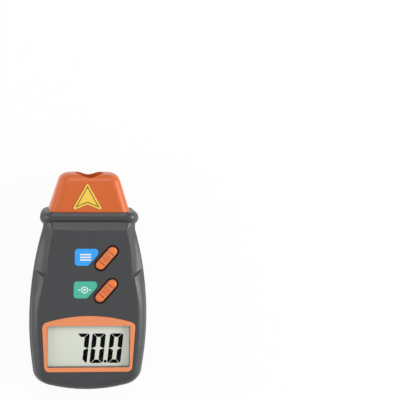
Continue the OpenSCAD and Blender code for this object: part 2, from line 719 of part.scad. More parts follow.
module rear_shell() color(dark_plastic) difference() {
  union() {
    grid_wall(shell_grid(false, 0, flat_points, rear_arc_points, groove_in),
              shell_grid(false, wall, flat_points, rear_arc_points, 0), true);
    for (p = case_bosses) cylinder_at(p.x, p.y, wall - boss_sink, boss_d, parting_z - wall + boss_sink);
    for (s = [-1, 1]) {
      translate([s * (battery_w / 2 + battery_side + rib_t / 2) - rib_t / 2, battery_y, wall - boss_sink])
        cube([rib_t, battery_len + stop_h, rib_top_z - wall + boss_sink]);
      translate([s * (battery_w / 2 + battery_side + pad_w / 2) - pad_w / 2, battery_y, wall - boss_sink])
        cube([pad_w, door_top_y - battery_y + rib_t, pad_t + boss_sink]);
      cylinder_at(s * post_x, post_y, wall - boss_sink, post_d, plate_z - wall + boss_sink);
    }
    translate([-battery_w / 2 - battery_side - rib_t / 2, battery_top_y + stop_h - rib_t, wall - boss_sink])
      cube([battery_w + 2 * battery_side + rib_t, rib_t, stop_h - wall]);
  }
  for (p = case_bosses) {
    cylinder_at(p.x, p.y, -over, screw_head_d + 2 * counterbore_fit, counterbore_z + over);
    cylinder_at(p.x, p.y, counterbore_z - over, screw_d + 2 * fit, parting_z - counterbore_z + 2 * over);
  }
  for (s = [-1, 1])
    cylinder_at(s * post_x, post_y, plate_z + plate_t - bracket_screw_len, small_screw_d + 2 * shank_fit,
                bracket_screw_len);
  translate([-door_w / 2 - running_gap, end_y - over, -over])
    cube([door_w + 2 * running_gap, door_len + over + running_gap, tongue_z - running_gap + 2 * over]);
  translate([-door_w / 2 - tongue_w - running_gap, end_y - over, tongue_z - running_gap])
    cube([door_w + 2 * tongue_w + 2 * running_gap, door_len + over + running_gap,
          door_t + door_gap_z - tongue_z + running_gap]);
  translate([-battery_w / 2 - battery_side, battery_y - fit, door_t])
    cube([battery_w + 2 * battery_side, battery_len + stop_h - rib_t, wall + over]);
  translate([0, 0, -over]) rear_label_plate(label_gap, rear_label_sink + over);
}

// Nose
nose_corner_steps = 7;
nose_tip_steps = 5;
nose_gap = 0.1;
function nose_ring(y, half_w, half_t, r) = [
  for (c = [0:3], k = [0:nose_corner_steps])
    let (a = 90 * (c + k / nose_corner_steps), q = floor(c),
         cx = (q == 0 || q == 3 ? 1 : -1) * (half_w - r), cz = (q < 2 ? 1 : -1) * (half_t - r))
    [cx + r * cos(a), y, nose_mid_z + cz + r * sin(a)]];
function nose_half_w(y) = lerp(nose_base_w, nose_tip_w, (y - collar_y) / nose_len) / 2;
function nose_half_t(y) = lerp(nose_base_t, nose_tip_t, (y - collar_y) / nose_len) / 2;
function tapered_ring(y, inset, r) = nose_ring(y, nose_half_w(y) - inset, nose_half_t(y) - inset, r);
module ring_solid(rings) {
  n = len(rings[0]);
  last = (len(rings) - 1) * n;
  points = concat([for (ring = rings, p = ring) p],
    [[0, rings[0][0].y, nose_mid_z], [0, rings[len(rings) - 1][0].y, nose_mid_z]]);
  low = last + n;
  polyhedron(points = points, faces = concat(
    [for (i = [0:len(rings) - 2], j = [0:n - 1], f = [0, 1])
      let (a = i * n + j, b = i * n + (j + 1) % n, c = b + n, d = a + n)
      f == 0 ? [a, b, c] : [a, c, d]],
    [for (j = [0:n - 1]) [low, (j + 1) % n, j]],
    [for (j = [0:n - 1]) [low + 1, last + j, last + (j + 1) % n]]));
}
module nose_outer() {
  skirt_w = nose_base_w / 2 - skirt_in;
  skirt_t = nose_base_t / 2 - skirt_in;
  base_y = collar_y + nose_gap;
  ring_solid(concat(
    [nose_ring(collar_y - skirt_len, skirt_w, skirt_t, skirt_corner_r),
     nose_ring(base_y, skirt_w, skirt_t, skirt_corner_r),
     tapered_ring(base_y, 0, nose_edge_r)],
    [for (k = [0:nose_tip_steps])
      let (a = 90 * k / nose_tip_steps, y = tip_y - nose_tip_r * (1 - sin(a)))
      tapered_ring(y, nose_tip_r * (1 - cos(a)), nose_edge_r - 0.5 * nose_tip_r * (1 - cos(a)))]));
}
module nose_inner() {
  inner_r = nose_edge_r - nose_wall;
  skirt_w = nose_base_w / 2 - skirt_in - nose_wall;
  skirt_t = nose_base_t / 2 - skirt_in - nose_wall;
  ring_solid([
    nose_ring(collar_y - skirt_len - over, skirt_w, skirt_t, skirt_corner_r - nose_wall / 2),
    nose_ring(collar_y + nose_wall, skirt_w, skirt_t, skirt_corner_r - nose_wall / 2),
    tapered_ring(collar_y + 2 * nose_wall, nose_wall, inner_r),
    tapered_ring(tip_y - nose_tip_r, nose_wall, inner_r),
    tapered_ring(tip_y - nose_wall, 1.5 * nose_wall, inner_r - 0.5 * nose_wall)]);
}
aperture_d = barrel_d - 2.8;
lens_opening_d = receiver_d - 2.4;
module nose_cap() color(orange_plastic) difference() {
  nose_outer();
  difference() {
    nose_inner();
    along_y(0, well_y - floor_t, optics_z)
      cylinder(d = well_d + 2 * nose_wall - 2 * tube_gap, h = well_depth + floor_t, $fn = 96);
  }
  along_y(0, well_y, optics_z) cylinder(d = well_d, h = well_depth + over, $fn = 96);
  along_y(receiver_x, well_y - floor_t - over, optics_z)
    cylinder(d = lens_opening_d, h = floor_t + 2 * over, $fn = 64);
  along_y(barrel_x, well_y - floor_t - over, optics_z)
    cylinder(d = aperture_d, h = floor_t + 2 * over, $fn = 48);
}

// Display pieces
module window_frame() color("#f28b57") difference() {
  translate([0, 0, recess_z]) linear_extrude(case_t - recess_z + frame_proud) polygon(frame_outline(0));
  window_block(0, recess_z - over, wall + over + frame_proud, window_r);
  window_block(pane_overlap + fit, recess_z - over, pane_t + over + fit / 2, window_r);
}
module window_pane() color([0.85, 0.92, 0.9, 0.35]) window_block(pane_overlap, recess_z, pane_t, window_r);
module lcd_panel() color("#cfd6c4")
  translate([-window_w / 2 - lcd_margin, window_y - lcd_margin, lcd_z])
    cube([window_w + 2 * lcd_margin, window_h + 2 * lcd_margin, lcd_t]);

// Seven-segment digits
digit_t = 0.08;
digit_slant_share = 0.092;
digit_from_side = 3.8;
digit_base = 2.15;
digit_corner = 0.8;
digit_waist = 1.1;
segment_gap = 0.15;
dot_d = 1.8;
dot_left = 1.15;
dot_rise = 1.05;
digits = [7, 0, 0];
dotted = 2;
digit_start = window_w / 2 - digit_from_side - digit_w - digit_slant_share * digit_h;
function digit_x(k) =
  digit_start - (len(digits) - 1 - k) * digit_pitch - (k < dotted ? dot_room : 0);
function lit(n) = n == 7 ? ["a", "b", "c"] : ["a", "b", "c", "d", "e", "f"];
// Top bar and upper left upright, which the other segments mirror
top_bar = [[digit_corner + segment_gap, digit_h], [digit_w - digit_corner - segment_gap, digit_h],
           [digit_w - stroke_w - segment_gap, digit_h - bar_w], [stroke_w + segment_gap, digit_h - bar_w]];
upright = [[0, digit_h - digit_corner], [digit_corner - segment_gap, digit_h - segment_gap],
           [stroke_w, digit_h - bar_w - 2 * segment_gap], [stroke_w, digit_h / 2 + digit_waist],
           [stroke_w / 3, digit_h / 2 + segment_gap], [0, digit_h / 2 + 2 * segment_gap]];
function mirrored(outline, across, over) =
  [for (p = outline) [across ? digit_w - p.x : p.x, over ? digit_h - p.y : p.y]];
function segment(name) =
  name == "a" || name == "d" ? mirrored(top_bar, false, name == "d")
  : mirrored(upright, name == "b" || name == "c", name == "c" || name == "e");
function slanted(outline) = [for (p = outline) [p.x + digit_slant_share * p.y, p.y]];
module lcd_digits() color("#101214") translate([0, window_y + digit_base, lcd_top_z]) {
  for (k = [0:len(digits) - 1], name = lit(digits[k]))
    translate([digit_x(k), 0, 0]) linear_extrude(digit_t) polygon(slanted(segment(name)));
  translate([digit_x(dotted) - dot_left, dot_rise, 0]) cylinder(d = dot_d, h = digit_t, $fn = 32);
}
holder_t = 1.3;
holder_top = 0.6;
holder_ledge = 1.2;
module lcd_holder() color("#d8d8d2") difference() {
  grow = lcd_margin + fit;
  translate([-window_w / 2 - grow - holder_t, window_y - grow - holder_t, board_top_z])
    cube([window_w + 2 * (grow + holder_t), window_h + 2 * (grow + holder_t),
          lcd_z + holder_top - board_top_z]);
  translate([-window_w / 2 - grow, window_y - grow, lcd_z])
    cube([window_w + 2 * grow, window_h + 2 * grow, lcd_t]);
  translate([-window_w / 2 - grow + holder_ledge, window_y - grow, board_top_z - over])
    cube([window_w + 2 * (grow - holder_ledge), window_h + 2 * grow, lcd_z]);
}
zebra_w = 1.8;
zebra_in = 0.4;
zebra_from_side = 2.7;
zebra_len = window_w - 2 * zebra_from_side;
module zebra_strips() color("#d9a7b0")
  for (y = [window_y - lcd_margin + zebra_in, window_y + window_h + lcd_margin - zebra_in - zebra_w])
    translate([-zebra_len / 2, y, board_top_z]) cube([zebra_len, zebra_w, lcd_z - board_top_z]);

// Main board
board_below_frame = 0.3;
board_bottom_y = frame_y - board_below_frame;
module main_board() color(board_green) difference() {
  union() {
    translate([-board_w / 2, board_bottom_y, board_z])
      cube([board_w, board_shoulder_y - board_bottom_y, board_t]);
    translate([-board_neck_w / 2, board_shoulder_y - over, board_z])
      cube([board_neck_w, board_top_y - board_shoulder_y + over, board_t]);
  }
  for (p = board_bosses) cylinder_at(p.x, p.y, board_z - over, small_screw_d + 2 * fit, board_t + 2 * over);
}
blob_r = 5;
blob_h = 1.5;
module controller_blob() color("#17181a")
  translate([key_x - label_right - 3 * label_rise, lerp(lower_key_y, upper_key_y, 0.5), board_top_z])
    rotate_extrude($fn = 48) polygon(concat([[0, 0]], [for (k = [0:6]) let (a = 15 * k)
      [blob_r * cos(a), blob_h * sin(a)]]));
crystal_len = 10.5;
crystal_w = 4.4;
crystal_h = 3;
crystal_in = 3.6;
module crystal() color(metal_grey)
  translate([crystal_in - board_neck_w / 2, lerp(lower_key_y, upper_key_y, 0.5), board_top_z])
    linear_extrude(crystal_h) polygon(box_outline(crystal_w, crystal_len, 0, crystal_w / 2.2));
capacitor_d = 4;
capacitor_h = 3.1;
capacitor_pitch = 6.5;
capacitor_in = 2.5;
capacitor_from_boss = 8.4;
module board_capacitors() color("#2b2f5a") for (k = [0:2])
  cylinder_at(capacitor_from_boss + k * capacitor_pitch - board_boss_x, board_shoulder_y - capacitor_in,
              board_top_z, capacitor_d, capacitor_h);

module mem_button() key(upper_key_y);
module test_button() key(lower_key_y);
module mem_plunger() plunger(upper_key_y);
module test_plunger() plunger(lower_key_y);
module mem_switch() switch_body(upper_key_y);
module test_switch() switch_body(lower_key_y);
module mem_label() color("#2aa4ef") label_plate(upper_key_y, 0);
module test_label() color("#47b596") label_plate(lower_key_y, lower_label_shift);

// Arrow on the nose, which points along the beam
arrow_w = 18.8;
arrow_h = 16.8;
arrow_notch = 3.8;
arrow_r = 0.9;
arrow_t = 0.25;
arrow_from_collar = 1;
arrow_x = -1.6;
module aim_arrow() color("#f2c744")
  translate([0, collar_y, nose_mid_z + nose_base_t / 2 + bond])
    rotate([-atan((nose_base_t - nose_tip_t) / 2 / nose_len), 0, 0])
      translate([arrow_x, arrow_from_collar, 0]) linear_extrude(arrow_t) polygon(rounded_outline(
        [[-arrow_w / 2, 0, arrow_r], [0, arrow_notch, arrow_r], [arrow_w / 2, 0, arrow_r],
         [0, arrow_h, arrow_r]]));

// Optics
lens_fit = 0.05;
lens_back = 0.6;
lens_edge = 1;
lens_crown = 0.9;
lens_steps = 8;
module lens(d) rotate_extrude($fn = 48) polygon(concat(
  [for (k = [0:lens_steps]) let (x = d / 2 * k / lens_steps)
    [x, -lens_crown * (1 - pow(2 * x / d, 2))]],
  [for (k = [lens_steps:-1:0]) let (x = d / 2 * k / lens_steps)
    [x, lens_edge + lens_crown * (1 - pow(2 * x / d, 2))]]));
lens_y = tube_front_y - lens_back - lens_edge - lens_crown;
module tube(x, d, bore) difference() {
  along_y(x, tube_back_y, optics_z) cylinder(d = d, h = tube_len, $fn = 64);
  along_y(x, tube_back_y - over, optics_z) cylinder(d = bore, h = tube_len + 2 * over, $fn = 64);
}
module laser_barrel() color(brass_yellow) tube(barrel_x, barrel_d, barrel_bore);
module receiver_tube() color("#222326") tube(receiver_x, receiver_d, receiver_d - 2 * tube_wall);
module laser_lens() color([0.8, 0.9, 1, 0.5]) along_y(barrel_x, lens_y, optics_z)
  lens(barrel_bore - 2 * lens_fit);
module receiver_lens() color([0.8, 0.9, 1, 0.5]) along_y(receiver_x, lens_y, optics_z)
  lens(receiver_d - 2 * tube_wall - 2 * lens_fit);
pin_d = 0.5;
pin_pitch = 1.27;
can_flange_h = 1;
can_h = 3;
can_d_share = 0.8;
module can(x, d) {
  along_y(x, tube_back_y, optics_z) cylinder(d = d, h = can_flange_h, $fn = 48);
  along_y(x, tube_back_y, optics_z) cylinder(d = can_d_share * d, h = can_h, $fn = 48);
  for (s = [-1, 1]) along_y(x + s * pin_pitch / 2, sensor_board_y, optics_z)
    cylinder(d = pin_d, h = sensor_board_gap + can_flange_h / 2, $fn = 24);
}
module laser_diode() color(metal_grey) can(barrel_x, barrel_bore - 2 * lens_fit);
photodiode_d = 5;
module photodiode() color("#3a2d33") can(receiver_x, photodiode_d);
sensor_board_w = 22;
sensor_board_h = 13.4;
module sensor_board() color(board_green)
  translate([-sensor_board_w / 2, sensor_board_y - board_t, plate_z + plate_t])
    cube([sensor_board_w, board_t, sensor_board_h]);
bracket_block_w = 21;
bracket_block_len = 7;
bracket_block_back = 2;
bracket_block_over = 6.4;
module optics_bracket() color("#3b3d40") difference() {
  block_y = tube_back_y + bracket_block_back;
  union() {
    translate([-plate_w / 2, post_y - plate_back, plate_z])
      cube([plate_w, block_y + bracket_block_len - post_y + plate_back, plate_t]);
    translate([-bracket_block_w / 2, block_y, plate_z])
      cube([bracket_block_w, bracket_block_len, optics_z + bracket_block_over - plate_z]);
  }
  along_y(receiver_x, block_y - over, optics_z)
    cylinder(d = receiver_d + fit, h = bracket_block_len + 2 * over, $fn = 64);
  along_y(barrel_x, block_y - over, optics_z)
    cylinder(d = barrel_d + fit, h = bracket_block_len + 2 * over, $fn = 64);
  for (s = [-1, 1])
    cylinder_at(s * post_x, post_y, plate_z - over, small_screw_d + 2 * fit, plate_t + 2 * over);
}

// Battery pieces
stud_pitch = 12.7;
stud_small_d = 5.6;
stud_large_d = 7.4;
stud_h = 2.4;
module battery() color("#3c4a5a") along_y(0, battery_y, battery_mid_z) linear_extrude(battery_len)
  polygon(box_outline(battery_w, battery_t, 0, battery_round));
module battery_studs() color(metal_grey) {
  along_y(-stud_pitch / 2, battery_top_y, battery_mid_z) cylinder(d = stud_small_d, h = stud_h, $fn = 48);
  along_y(stud_pitch / 2, battery_top_y, battery_mid_z) cylinder(d = stud_large_d, h = stud_h, $fn = 48);
}
snap_w = 24;
snap_h = 11.5;
snap_t = 4;
module battery_snap() color("#1b1c1f") difference() {
  along_y(0, battery_top_y + fit, battery_mid_z) linear_extrude(snap_t)
    polygon(box_outline(snap_w, snap_h, 0, battery_round));
  along_y(-stud_pitch / 2, battery_top_y - over, battery_mid_z)
    cylinder(d = stud_small_d + 2 * fit, h = stud_h + over + fit, $fn = 48);
  along_y(stud_pitch / 2, battery_top_y - over, battery_mid_z)
    cylinder(d = stud_large_d + 2 * fit, h = stud_h + over + fit, $fn = 48);
}
lead_d = 1.3;
lead_x = 8.5;
lead_end_y = 8;
lead_pull = 5;
module battery_leads() color("#a8322a") for (s = [-1, 1])
  let (y = battery_top_y + fit + snap_t)
  lead([s * lead_x, y, battery_mid_z], [0, lead_pull, 0], [s * (lead_x - lead_d), y + lead_end_y, board_z],
       [0, 0, lead_pull], lead_d);
sensor_lead_d = 1;
sensor_lead_x = 5;
sensor_lead_pitch = 2.2;
sensor_lead_drop = 4.5;
sensor_lead_pull = 3.5;
module sensor_leads() color("#c9b23a") for (s = [-1, 1], k = [0, 1])
  let (x = s * (sensor_lead_x + k * sensor_lead_pitch), y = sensor_board_y - board_t)
  lead([x, y, board_z - sensor_lead_drop], [0, -sensor_lead_pull, 0],
       [x, board_top_y - sensor_lead_d, board_z], [0, 0, sensor_lead_pull], sensor_lead_d);

module battery_door() color(dark_plastic) difference() {
  intersection() {
    union() {
      translate([-door_w / 2, end_y, 0]) cube([door_w, door_len, door_t]);
      translate([-door_w / 2 - tongue_w, end_y, tongue_z])
        cube([door_w + 2 * tongue_w, door_len, door_t - tongue_z]);
    }
    end_disc(0, wall * 2);
  }
  for (k = [0:grip_count - 1])
    translate([-grip_len / 2, door_top_y - grip_from_edge - k * grip_pitch - grip_w, -over])
      cube([grip_len, grip_w, grip_depth + over]);
}
module rear_label() color("#c9ccce")
  translate([0, 0, rear_label_sink - bond - rear_label_t]) rear_label_plate(0, rear_label_t);

// Screws
module screw(d, head_d, head_h, shank_len) {
  difference() {
    translate([0, 0, -head_h]) cylinder(d = head_d, h = head_h, $fn = 48);
    for (turn = [0, 90]) rotate([0, 0, turn])
      translate([-head_d / 3, -head_d / 16, -head_h - over])
        cube([head_d / 1.5, head_d / 8, head_h / 2 + over]);
  }
  translate([0, 0, -head_h / 4]) cylinder(d = d, h = shank_len + head_h / 4, $fn = 48);
}
module case_screws() color(metal_grey) for (p = case_bosses) translate([p.x, p.y, counterbore_z])
  screw(screw_d, screw_head_d, screw_head_h, case_screw_len);
module board_screws() color(metal_grey) for (p = board_bosses) translate([p.x, p.y, board_z])
  screw(small_screw_d, small_head_d, small_head_h, board_screw_len);
module bracket_screws() color(metal_grey) for (s = [-1, 1])
  translate([s * post_x, post_y, plate_z + plate_t]) rotate([180, 0, 0])
    screw(small_screw_d, small_head_d, small_head_h, bracket_screw_len - over);

front_shell();
rear_shell();
nose_cap();
window_frame();
window_pane();
lcd_panel();
lcd_digits();
lcd_holder();
zebra_strips();
main_board();
controller_blob();
crystal();
board_capacitors();
mem_button();
test_button();
mem_plunger();
test_plunger();
mem_switch();
test_switch();
mem_label();
test_label();
aim_arrow();
laser_barrel();
laser_lens();
laser_diode();
receiver_tube();
receiver_lens();
photodiode();
sensor_board();
optics_bracket();
battery();
battery_studs();
battery_snap();
battery_leads();
sensor_leads();
battery_door();
rear_label();
case_screws();
board_screws();
bracket_screws();
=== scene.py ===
"""Looks of a hand-held laser tachometer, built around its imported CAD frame.

The CAD frame gives every piece its size and place. This script gives the pieces soft edges and
procedural finishes, adds the thin printed and moulded details that CAD leaves out, and lights the
meter on a pale floor. Places are in metres, in the CAD's own frame: the meter lies on its back,
+X is to the right of the display, +Y is toward the beam and +Z is out of the display.
"""

import json
import logging
import math
from dataclasses import dataclass, field
from enum import Enum
from typing import Callable

import bmesh
import bpy
from mathutils import Matrix, Vector


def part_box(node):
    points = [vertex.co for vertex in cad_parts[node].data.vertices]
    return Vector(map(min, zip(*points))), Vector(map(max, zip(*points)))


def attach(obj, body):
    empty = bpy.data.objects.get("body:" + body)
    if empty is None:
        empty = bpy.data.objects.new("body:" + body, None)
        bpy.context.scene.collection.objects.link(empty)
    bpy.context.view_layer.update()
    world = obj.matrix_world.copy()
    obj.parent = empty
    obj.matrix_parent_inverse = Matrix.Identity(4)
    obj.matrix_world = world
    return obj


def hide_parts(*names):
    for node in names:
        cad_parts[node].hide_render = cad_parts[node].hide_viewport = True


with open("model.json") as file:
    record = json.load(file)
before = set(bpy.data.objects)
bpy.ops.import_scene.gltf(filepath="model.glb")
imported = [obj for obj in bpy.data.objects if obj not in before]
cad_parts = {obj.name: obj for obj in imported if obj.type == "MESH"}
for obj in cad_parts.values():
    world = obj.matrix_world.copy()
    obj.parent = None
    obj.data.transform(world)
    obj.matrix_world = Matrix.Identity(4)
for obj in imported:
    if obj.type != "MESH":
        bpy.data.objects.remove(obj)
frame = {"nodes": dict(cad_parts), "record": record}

LOG = logging.getLogger("tachometer")
MM = 0.001

# Vertices of a CAD mesh that are closer than this are one
MERGE_DISTANCE = 0.002 * MM
# Faces that meet at less than this are one flat face
FLAT_ANGLE = math.radians(0.6)
# What every bevel is given beside its own sizes
BEVEL = {"offset_type": "OFFSET", "profile": 0.5, "clamp_overlap": True, "material": -1}
# An edge shorter than this many bevel widths keeps its corner
SHORTEST_BEVEL = 2.2
# Faces that meet at less than this shade as one surface
SMOOTH_ANGLE = math.radians(32.0)
# How much more large faces than small ones set the shading round them
NORMAL_WEIGHT = 60
# Inset of a line that starts at its face's own edge
NO_INSET = 0.001 * MM
# Most values of a noise pattern lie in this span
NOISE_SPAN = (0.3, 0.7)
UNIT = (0.0, 1.0)

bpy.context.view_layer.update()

Colour = tuple[float, float, float, float]
Place = tuple[float, float, float]
Socket = bpy.types.NodeSocket
Relief = tuple[Socket, float]
Shape = bmesh.types.BMesh


def linear(code: str) -> Colour:
    """Turns a hex colour into Blender's linear colour.

    Args:
        code: The colour as six hex digits.

    Returns:
        Red, green, blue and an alpha of 1.
    """
    parts = [int(code[i : i + 2], 16) / 255 for i in (0, 2, 4)]
    light = [p / 12.92 if p <= 0.04045 else ((p + 0.055) / 1.055) ** 2.4 for p in parts]
    return (*light, 1.0)


# Node trees


@dataclass
class NodeBoard:
    """Node tree with short calls that add its nodes and join them.

    Attributes:
        tree: The tree.
        given: The sockets that it starts from, by name. Patterns follow the one named Vector.
    """

    tree: bpy.types.NodeTree
    given: dict[str, Socket] = field(default_factory=dict)

    def add(self, kind: str, inputs: dict | None = None, **settings: object) -> bpy.types.Node:
        """Adds a node and fills its inputs.

        Args:
            kind: The node's type, without its "ShaderNode" start.
            inputs: A socket or a plain value for each input, by name or number.
            settings: The node's own properties.

        Returns:
            The new node.
        """
        node = self.tree.nodes.new("ShaderNode" + kind)
        for name, value in settings.items():
            setattr(node, name, value)
        for name, value in (inputs or {}).items():
            self.fill(node.inputs[name], value)
        return node

    def fill(self, socket: Socket, value: object) -> None:
        """Joins another socket to this one, or gives it a plain value.

        Args:
            socket: The input to fill.
            value: The socket or the plain value that it takes.
        """
        if isinstance(value, Socket):
            self.tree.links.new(value, socket)
        else:
            socket.default_value = value

    def pattern(self, kind: str, inputs: dict, **settings: object) -> bpy.types.Node:
        """Adds a node that follows the given coordinates, unless its inputs name others."""
        return self.add(kind, {"Vector": self.given["Vector"], **inputs}, **settings)

    def along(self, axis: str) -> Socket:
        """Gives the coordinates' part along X, Y or Z."""
        return self.pattern("SeparateXYZ", {}).outputs[axis]

    def noise(self, scale: object, detail: float = 2.0) -> Socket:
        """Adds a noise of so many patches per metre, and gives its value from 0 to 1."""
        return self.pattern("TexNoise", {"Scale": scale, "Detail": detail}).outputs[0]

    def mix(self, share: object, low: object, high: object) -> Socket:
        """Blends two colours. The share says how much of the second one shows."""
        return self.add("Mix", {0: share, 6: low, 7: high}, data_type="RGBA").outputs[2]

    def sum(self, operation: str, *values: object) -> Socket:
        """Works out a number from others, with a Math node's operation."""
        return self.add("Math", dict(enumerate(values)), operation=operation).outputs[0]

    def spread(self, value: object, source: tuple, target: tuple[float, float]) -> Socket:
        """Maps a number so that the source's two values become the target's."""
        limits = dict(zip(("From Min", "From Max", "To Min", "To Max"), (*source, *target)))
        return self.add("MapRange", {"Value": value, **limits}).outputs[0]

    def group(self, effect: "Effect", inputs: dict) -> Socket:
        """Places a shared effect, and gives its result's socket."""
        return self.pattern("Group", inputs, node_tree=effect.tree()).outputs[0]


def seen_or_mirrored(board: NodeBoard) -> Socket:
    """Gives 1 where a camera, mirrored or transmitted ray meets a surface, and 0 elsewhere.

    Args:
        board: The material's or the world's nodes.

    Returns:
        The number's socket.
    """
    path = board.add("LightPath")
    seen = board.sum("MAXIMUM", path.outputs["Is Camera Ray"], path.outputs["Is Glossy Ray"])
    return board.sum("MAXIMUM", seen, path.outputs["Is Transmission Ray"])


def socket_kind(name: str) -> str:
    """Gives the socket type of an effect's input or output, which its name tells."""
    return "NodeSocket" + (name if name in ("Vector", "Color") else "Float")


@dataclass(frozen=True)
class Effect:
    """Surface effect that several finishes share, kept as one node group.

    Attributes:
        name: The group's name.
        inputs: The names of its inputs.
        output: The name of its result.
        fill: Draws the group and returns the result's socket.
    """

    name: str
    inputs: tuple[str, ...]
    output: str
    fill: Callable[[NodeBoard], Socket]

    def tree(self) -> bpy.types.NodeTree:
        """Builds the node group once, and returns the same one after that.

        Returns:
            The group.
        """
        known = bpy.data.node_groups.get(self.name)
        if known is not None:
            return known
        tree = bpy.data.node_groups.new(self.name, "ShaderNodeTree")
        for name in self.inputs:
            tree.interface.new_socket(name, in_out="INPUT", socket_type=socket_kind(name))
        kind = socket_kind(self.output)
        tree.interface.new_socket(self.output, in_out="OUTPUT", socket_type=kind)
        start = tree.nodes.new("NodeGroupInput")
        end = tree.nodes.new("NodeGroupOutput")
        board = NodeBoard(tree, {name: start.outputs[name] for name in self.inputs})
        tree.links.new(self.fill(board), end.inputs[self.output])
        return tree


def fill_grain(board: NodeBoard) -> Socket:
    """Draws the height of a spark-eroded mould's grain: rounded cells under a finer noise.

    Args:
        board: The group's nodes.

    Returns:
        The height's socket.
    """
    finer, cell_share = 2.6, 0.6
    scale = board.given["Scale"]
    cells = board.pattern("TexVoronoi", {"Scale": scale}, feature="SMOOTH_F1")
    fine = board.noise(board.sum("MULTIPLY", scale, finer))
    return board.sum("MULTIPLY_ADD", cells.outputs["Distance"], cell_share, fine)


def fill_patches(board: NodeBoard) -> Socket:
    """Draws a number that drifts between Low and High, as gloss does where hands rub.

    Args:
        board: The group's nodes.

    Returns:
        The number's socket.
    """
    low, high = board.given["Low"], board.given["High"]
    share = board.spread(board.noise(board.given["Scale"], detail=3.0), NOISE_SPAN, UNIT)
    return board.sum("MULTIPLY_ADD", share, board.sum("SUBTRACT", high, low), low)


def fill_tint(board: NodeBoard) -> Socket:
    """Draws a colour that drifts a little lighter and darker.

    Args:
        board: The group's nodes.

    Returns:
        The colour's socket.
    """
    gain = board.spread(board.noise(board.given["Scale"]), NOISE_SPAN, (-1.0, 1.0))
    value = board.sum("MULTIPLY_ADD", gain, board.given["Drift"], 1.0)
    return board.add("HueSaturation", {"Value": value, "Color": board.given["Color"]}).outputs[0]


def fill_scuffs(board: NodeBoard) -> Socket:
    """Draws a mask of fine scuffs that run along X, which Density makes more or fewer.

    Args:
        board: The group's nodes.

    Returns:
        The mask's socket.
    """
    along_x = (0.06, 1.0, 1.0)
    patch_scale, patch_span, patch_gain = 90.0, (0.35, 0.75), (0.6, 1.3)
    clean, scuffed = 0.8, 0.85
    stretched = board.pattern("Mapping", {"Scale": along_x}).outputs[0]
    inputs = {"Vector": stretched, "Scale": board.given["Scale"], "Detail": 1.0}
    lines = board.pattern("TexNoise", inputs).outputs[0]
    patch = board.spread(board.noise(patch_scale, detail=1.0), patch_span, patch_gain)
    limit = board.sum("SUBTRACT", clean, board.given["Density"])
    return board.spread(board.sum("MULTIPLY", lines, patch), (limit, scuffed), UNIT)


def fill_rubbed_and_highlit_edges(board: NodeBoard) -> Socket:
    """Draws a mask of the edges, broken up so that it isn't even: where hands and tables rub, and
    where a painted highlight lightens each edge.

    Args:
        board: The group's nodes.

    Returns:
        The mask's socket.
    """
    flat, on_edge = 0.99, 0.86
    break_scale, break_span, break_gain = 420.0, (0.35, 0.65), (0.35, 1.0)
    # The edge mask stands for wear and also paints a highlight along each edge
    soft = board.add("Bevel", {"Radius": board.given["Width"]}, samples=4)
    plain = board.add("NewGeometry").outputs["Normal"]
    match = board.add("VectorMath", {0: soft.outputs[0], 1: plain}, operation="DOT_PRODUCT")
    edge = board.spread(match.outputs["Value"], (flat, on_edge), UNIT)
    broken = board.spread(board.noise(break_scale), break_span, break_gain)
    return board.sum("MULTIPLY", edge, broken)


def fill_seam_dirt_and_shade(board: NodeBoard) -> Socket:
    """Draws a mask of painted shade in the seams and grooves, from how shut in each spot is, which
    also stands for settled dirt; broken up so that it isn't even.

    Args:
        board: The group's nodes.

    Returns:
        The mask's socket.
    """
    open_air, in_seam = 0.9, 0.45
    break_scale, break_gain = 300.0, (0.6, 1.0)
    # Ambient occlusion darkens where faces close in: painted shade, which also stands for dirt
    air = board.add("AmbientOcclusion", {"Distance": board.given["Width"]}, samples=8)
    shade_ring_w = board.spread(air.outputs["AO"], (open_air, in_seam), UNIT)
    broken = board.spread(board.noise(break_scale), NOISE_SPAN, break_gain)
    return board.sum("MULTIPLY", shade_ring_w, broken)


GRAIN = Effect("mould_grain", ("Vector", "Scale"), "Height", fill_grain)
PATCHES = Effect("rubbed_patches", ("Vector", "Scale", "Low", "High"), "Value", fill_patches)
TINT = Effect("colour_drift", ("Vector", "Scale", "Color", "Drift"), "Color", fill_tint)
SCUFFS = Effect("fine_scuffs", ("Vector", "Scale", "Density"), "Mask", fill_scuffs)
# The next two effects paint light and shade: paler edges are wear and a painted highlight, darker
# seams are dirt and painted shade
RUB_AND_HIGHLIGHT = Effect("rubbed_and_highlit_edges", ("Vector", "Width"), "Mask", fill_rubbed_and_highlit_edges)
DIRT_AND_SHADE = Effect("seam_dirt_and_shade", ("Vector", "Width"), "Mask", fill_seam_dirt_and_shade)


# Finishes


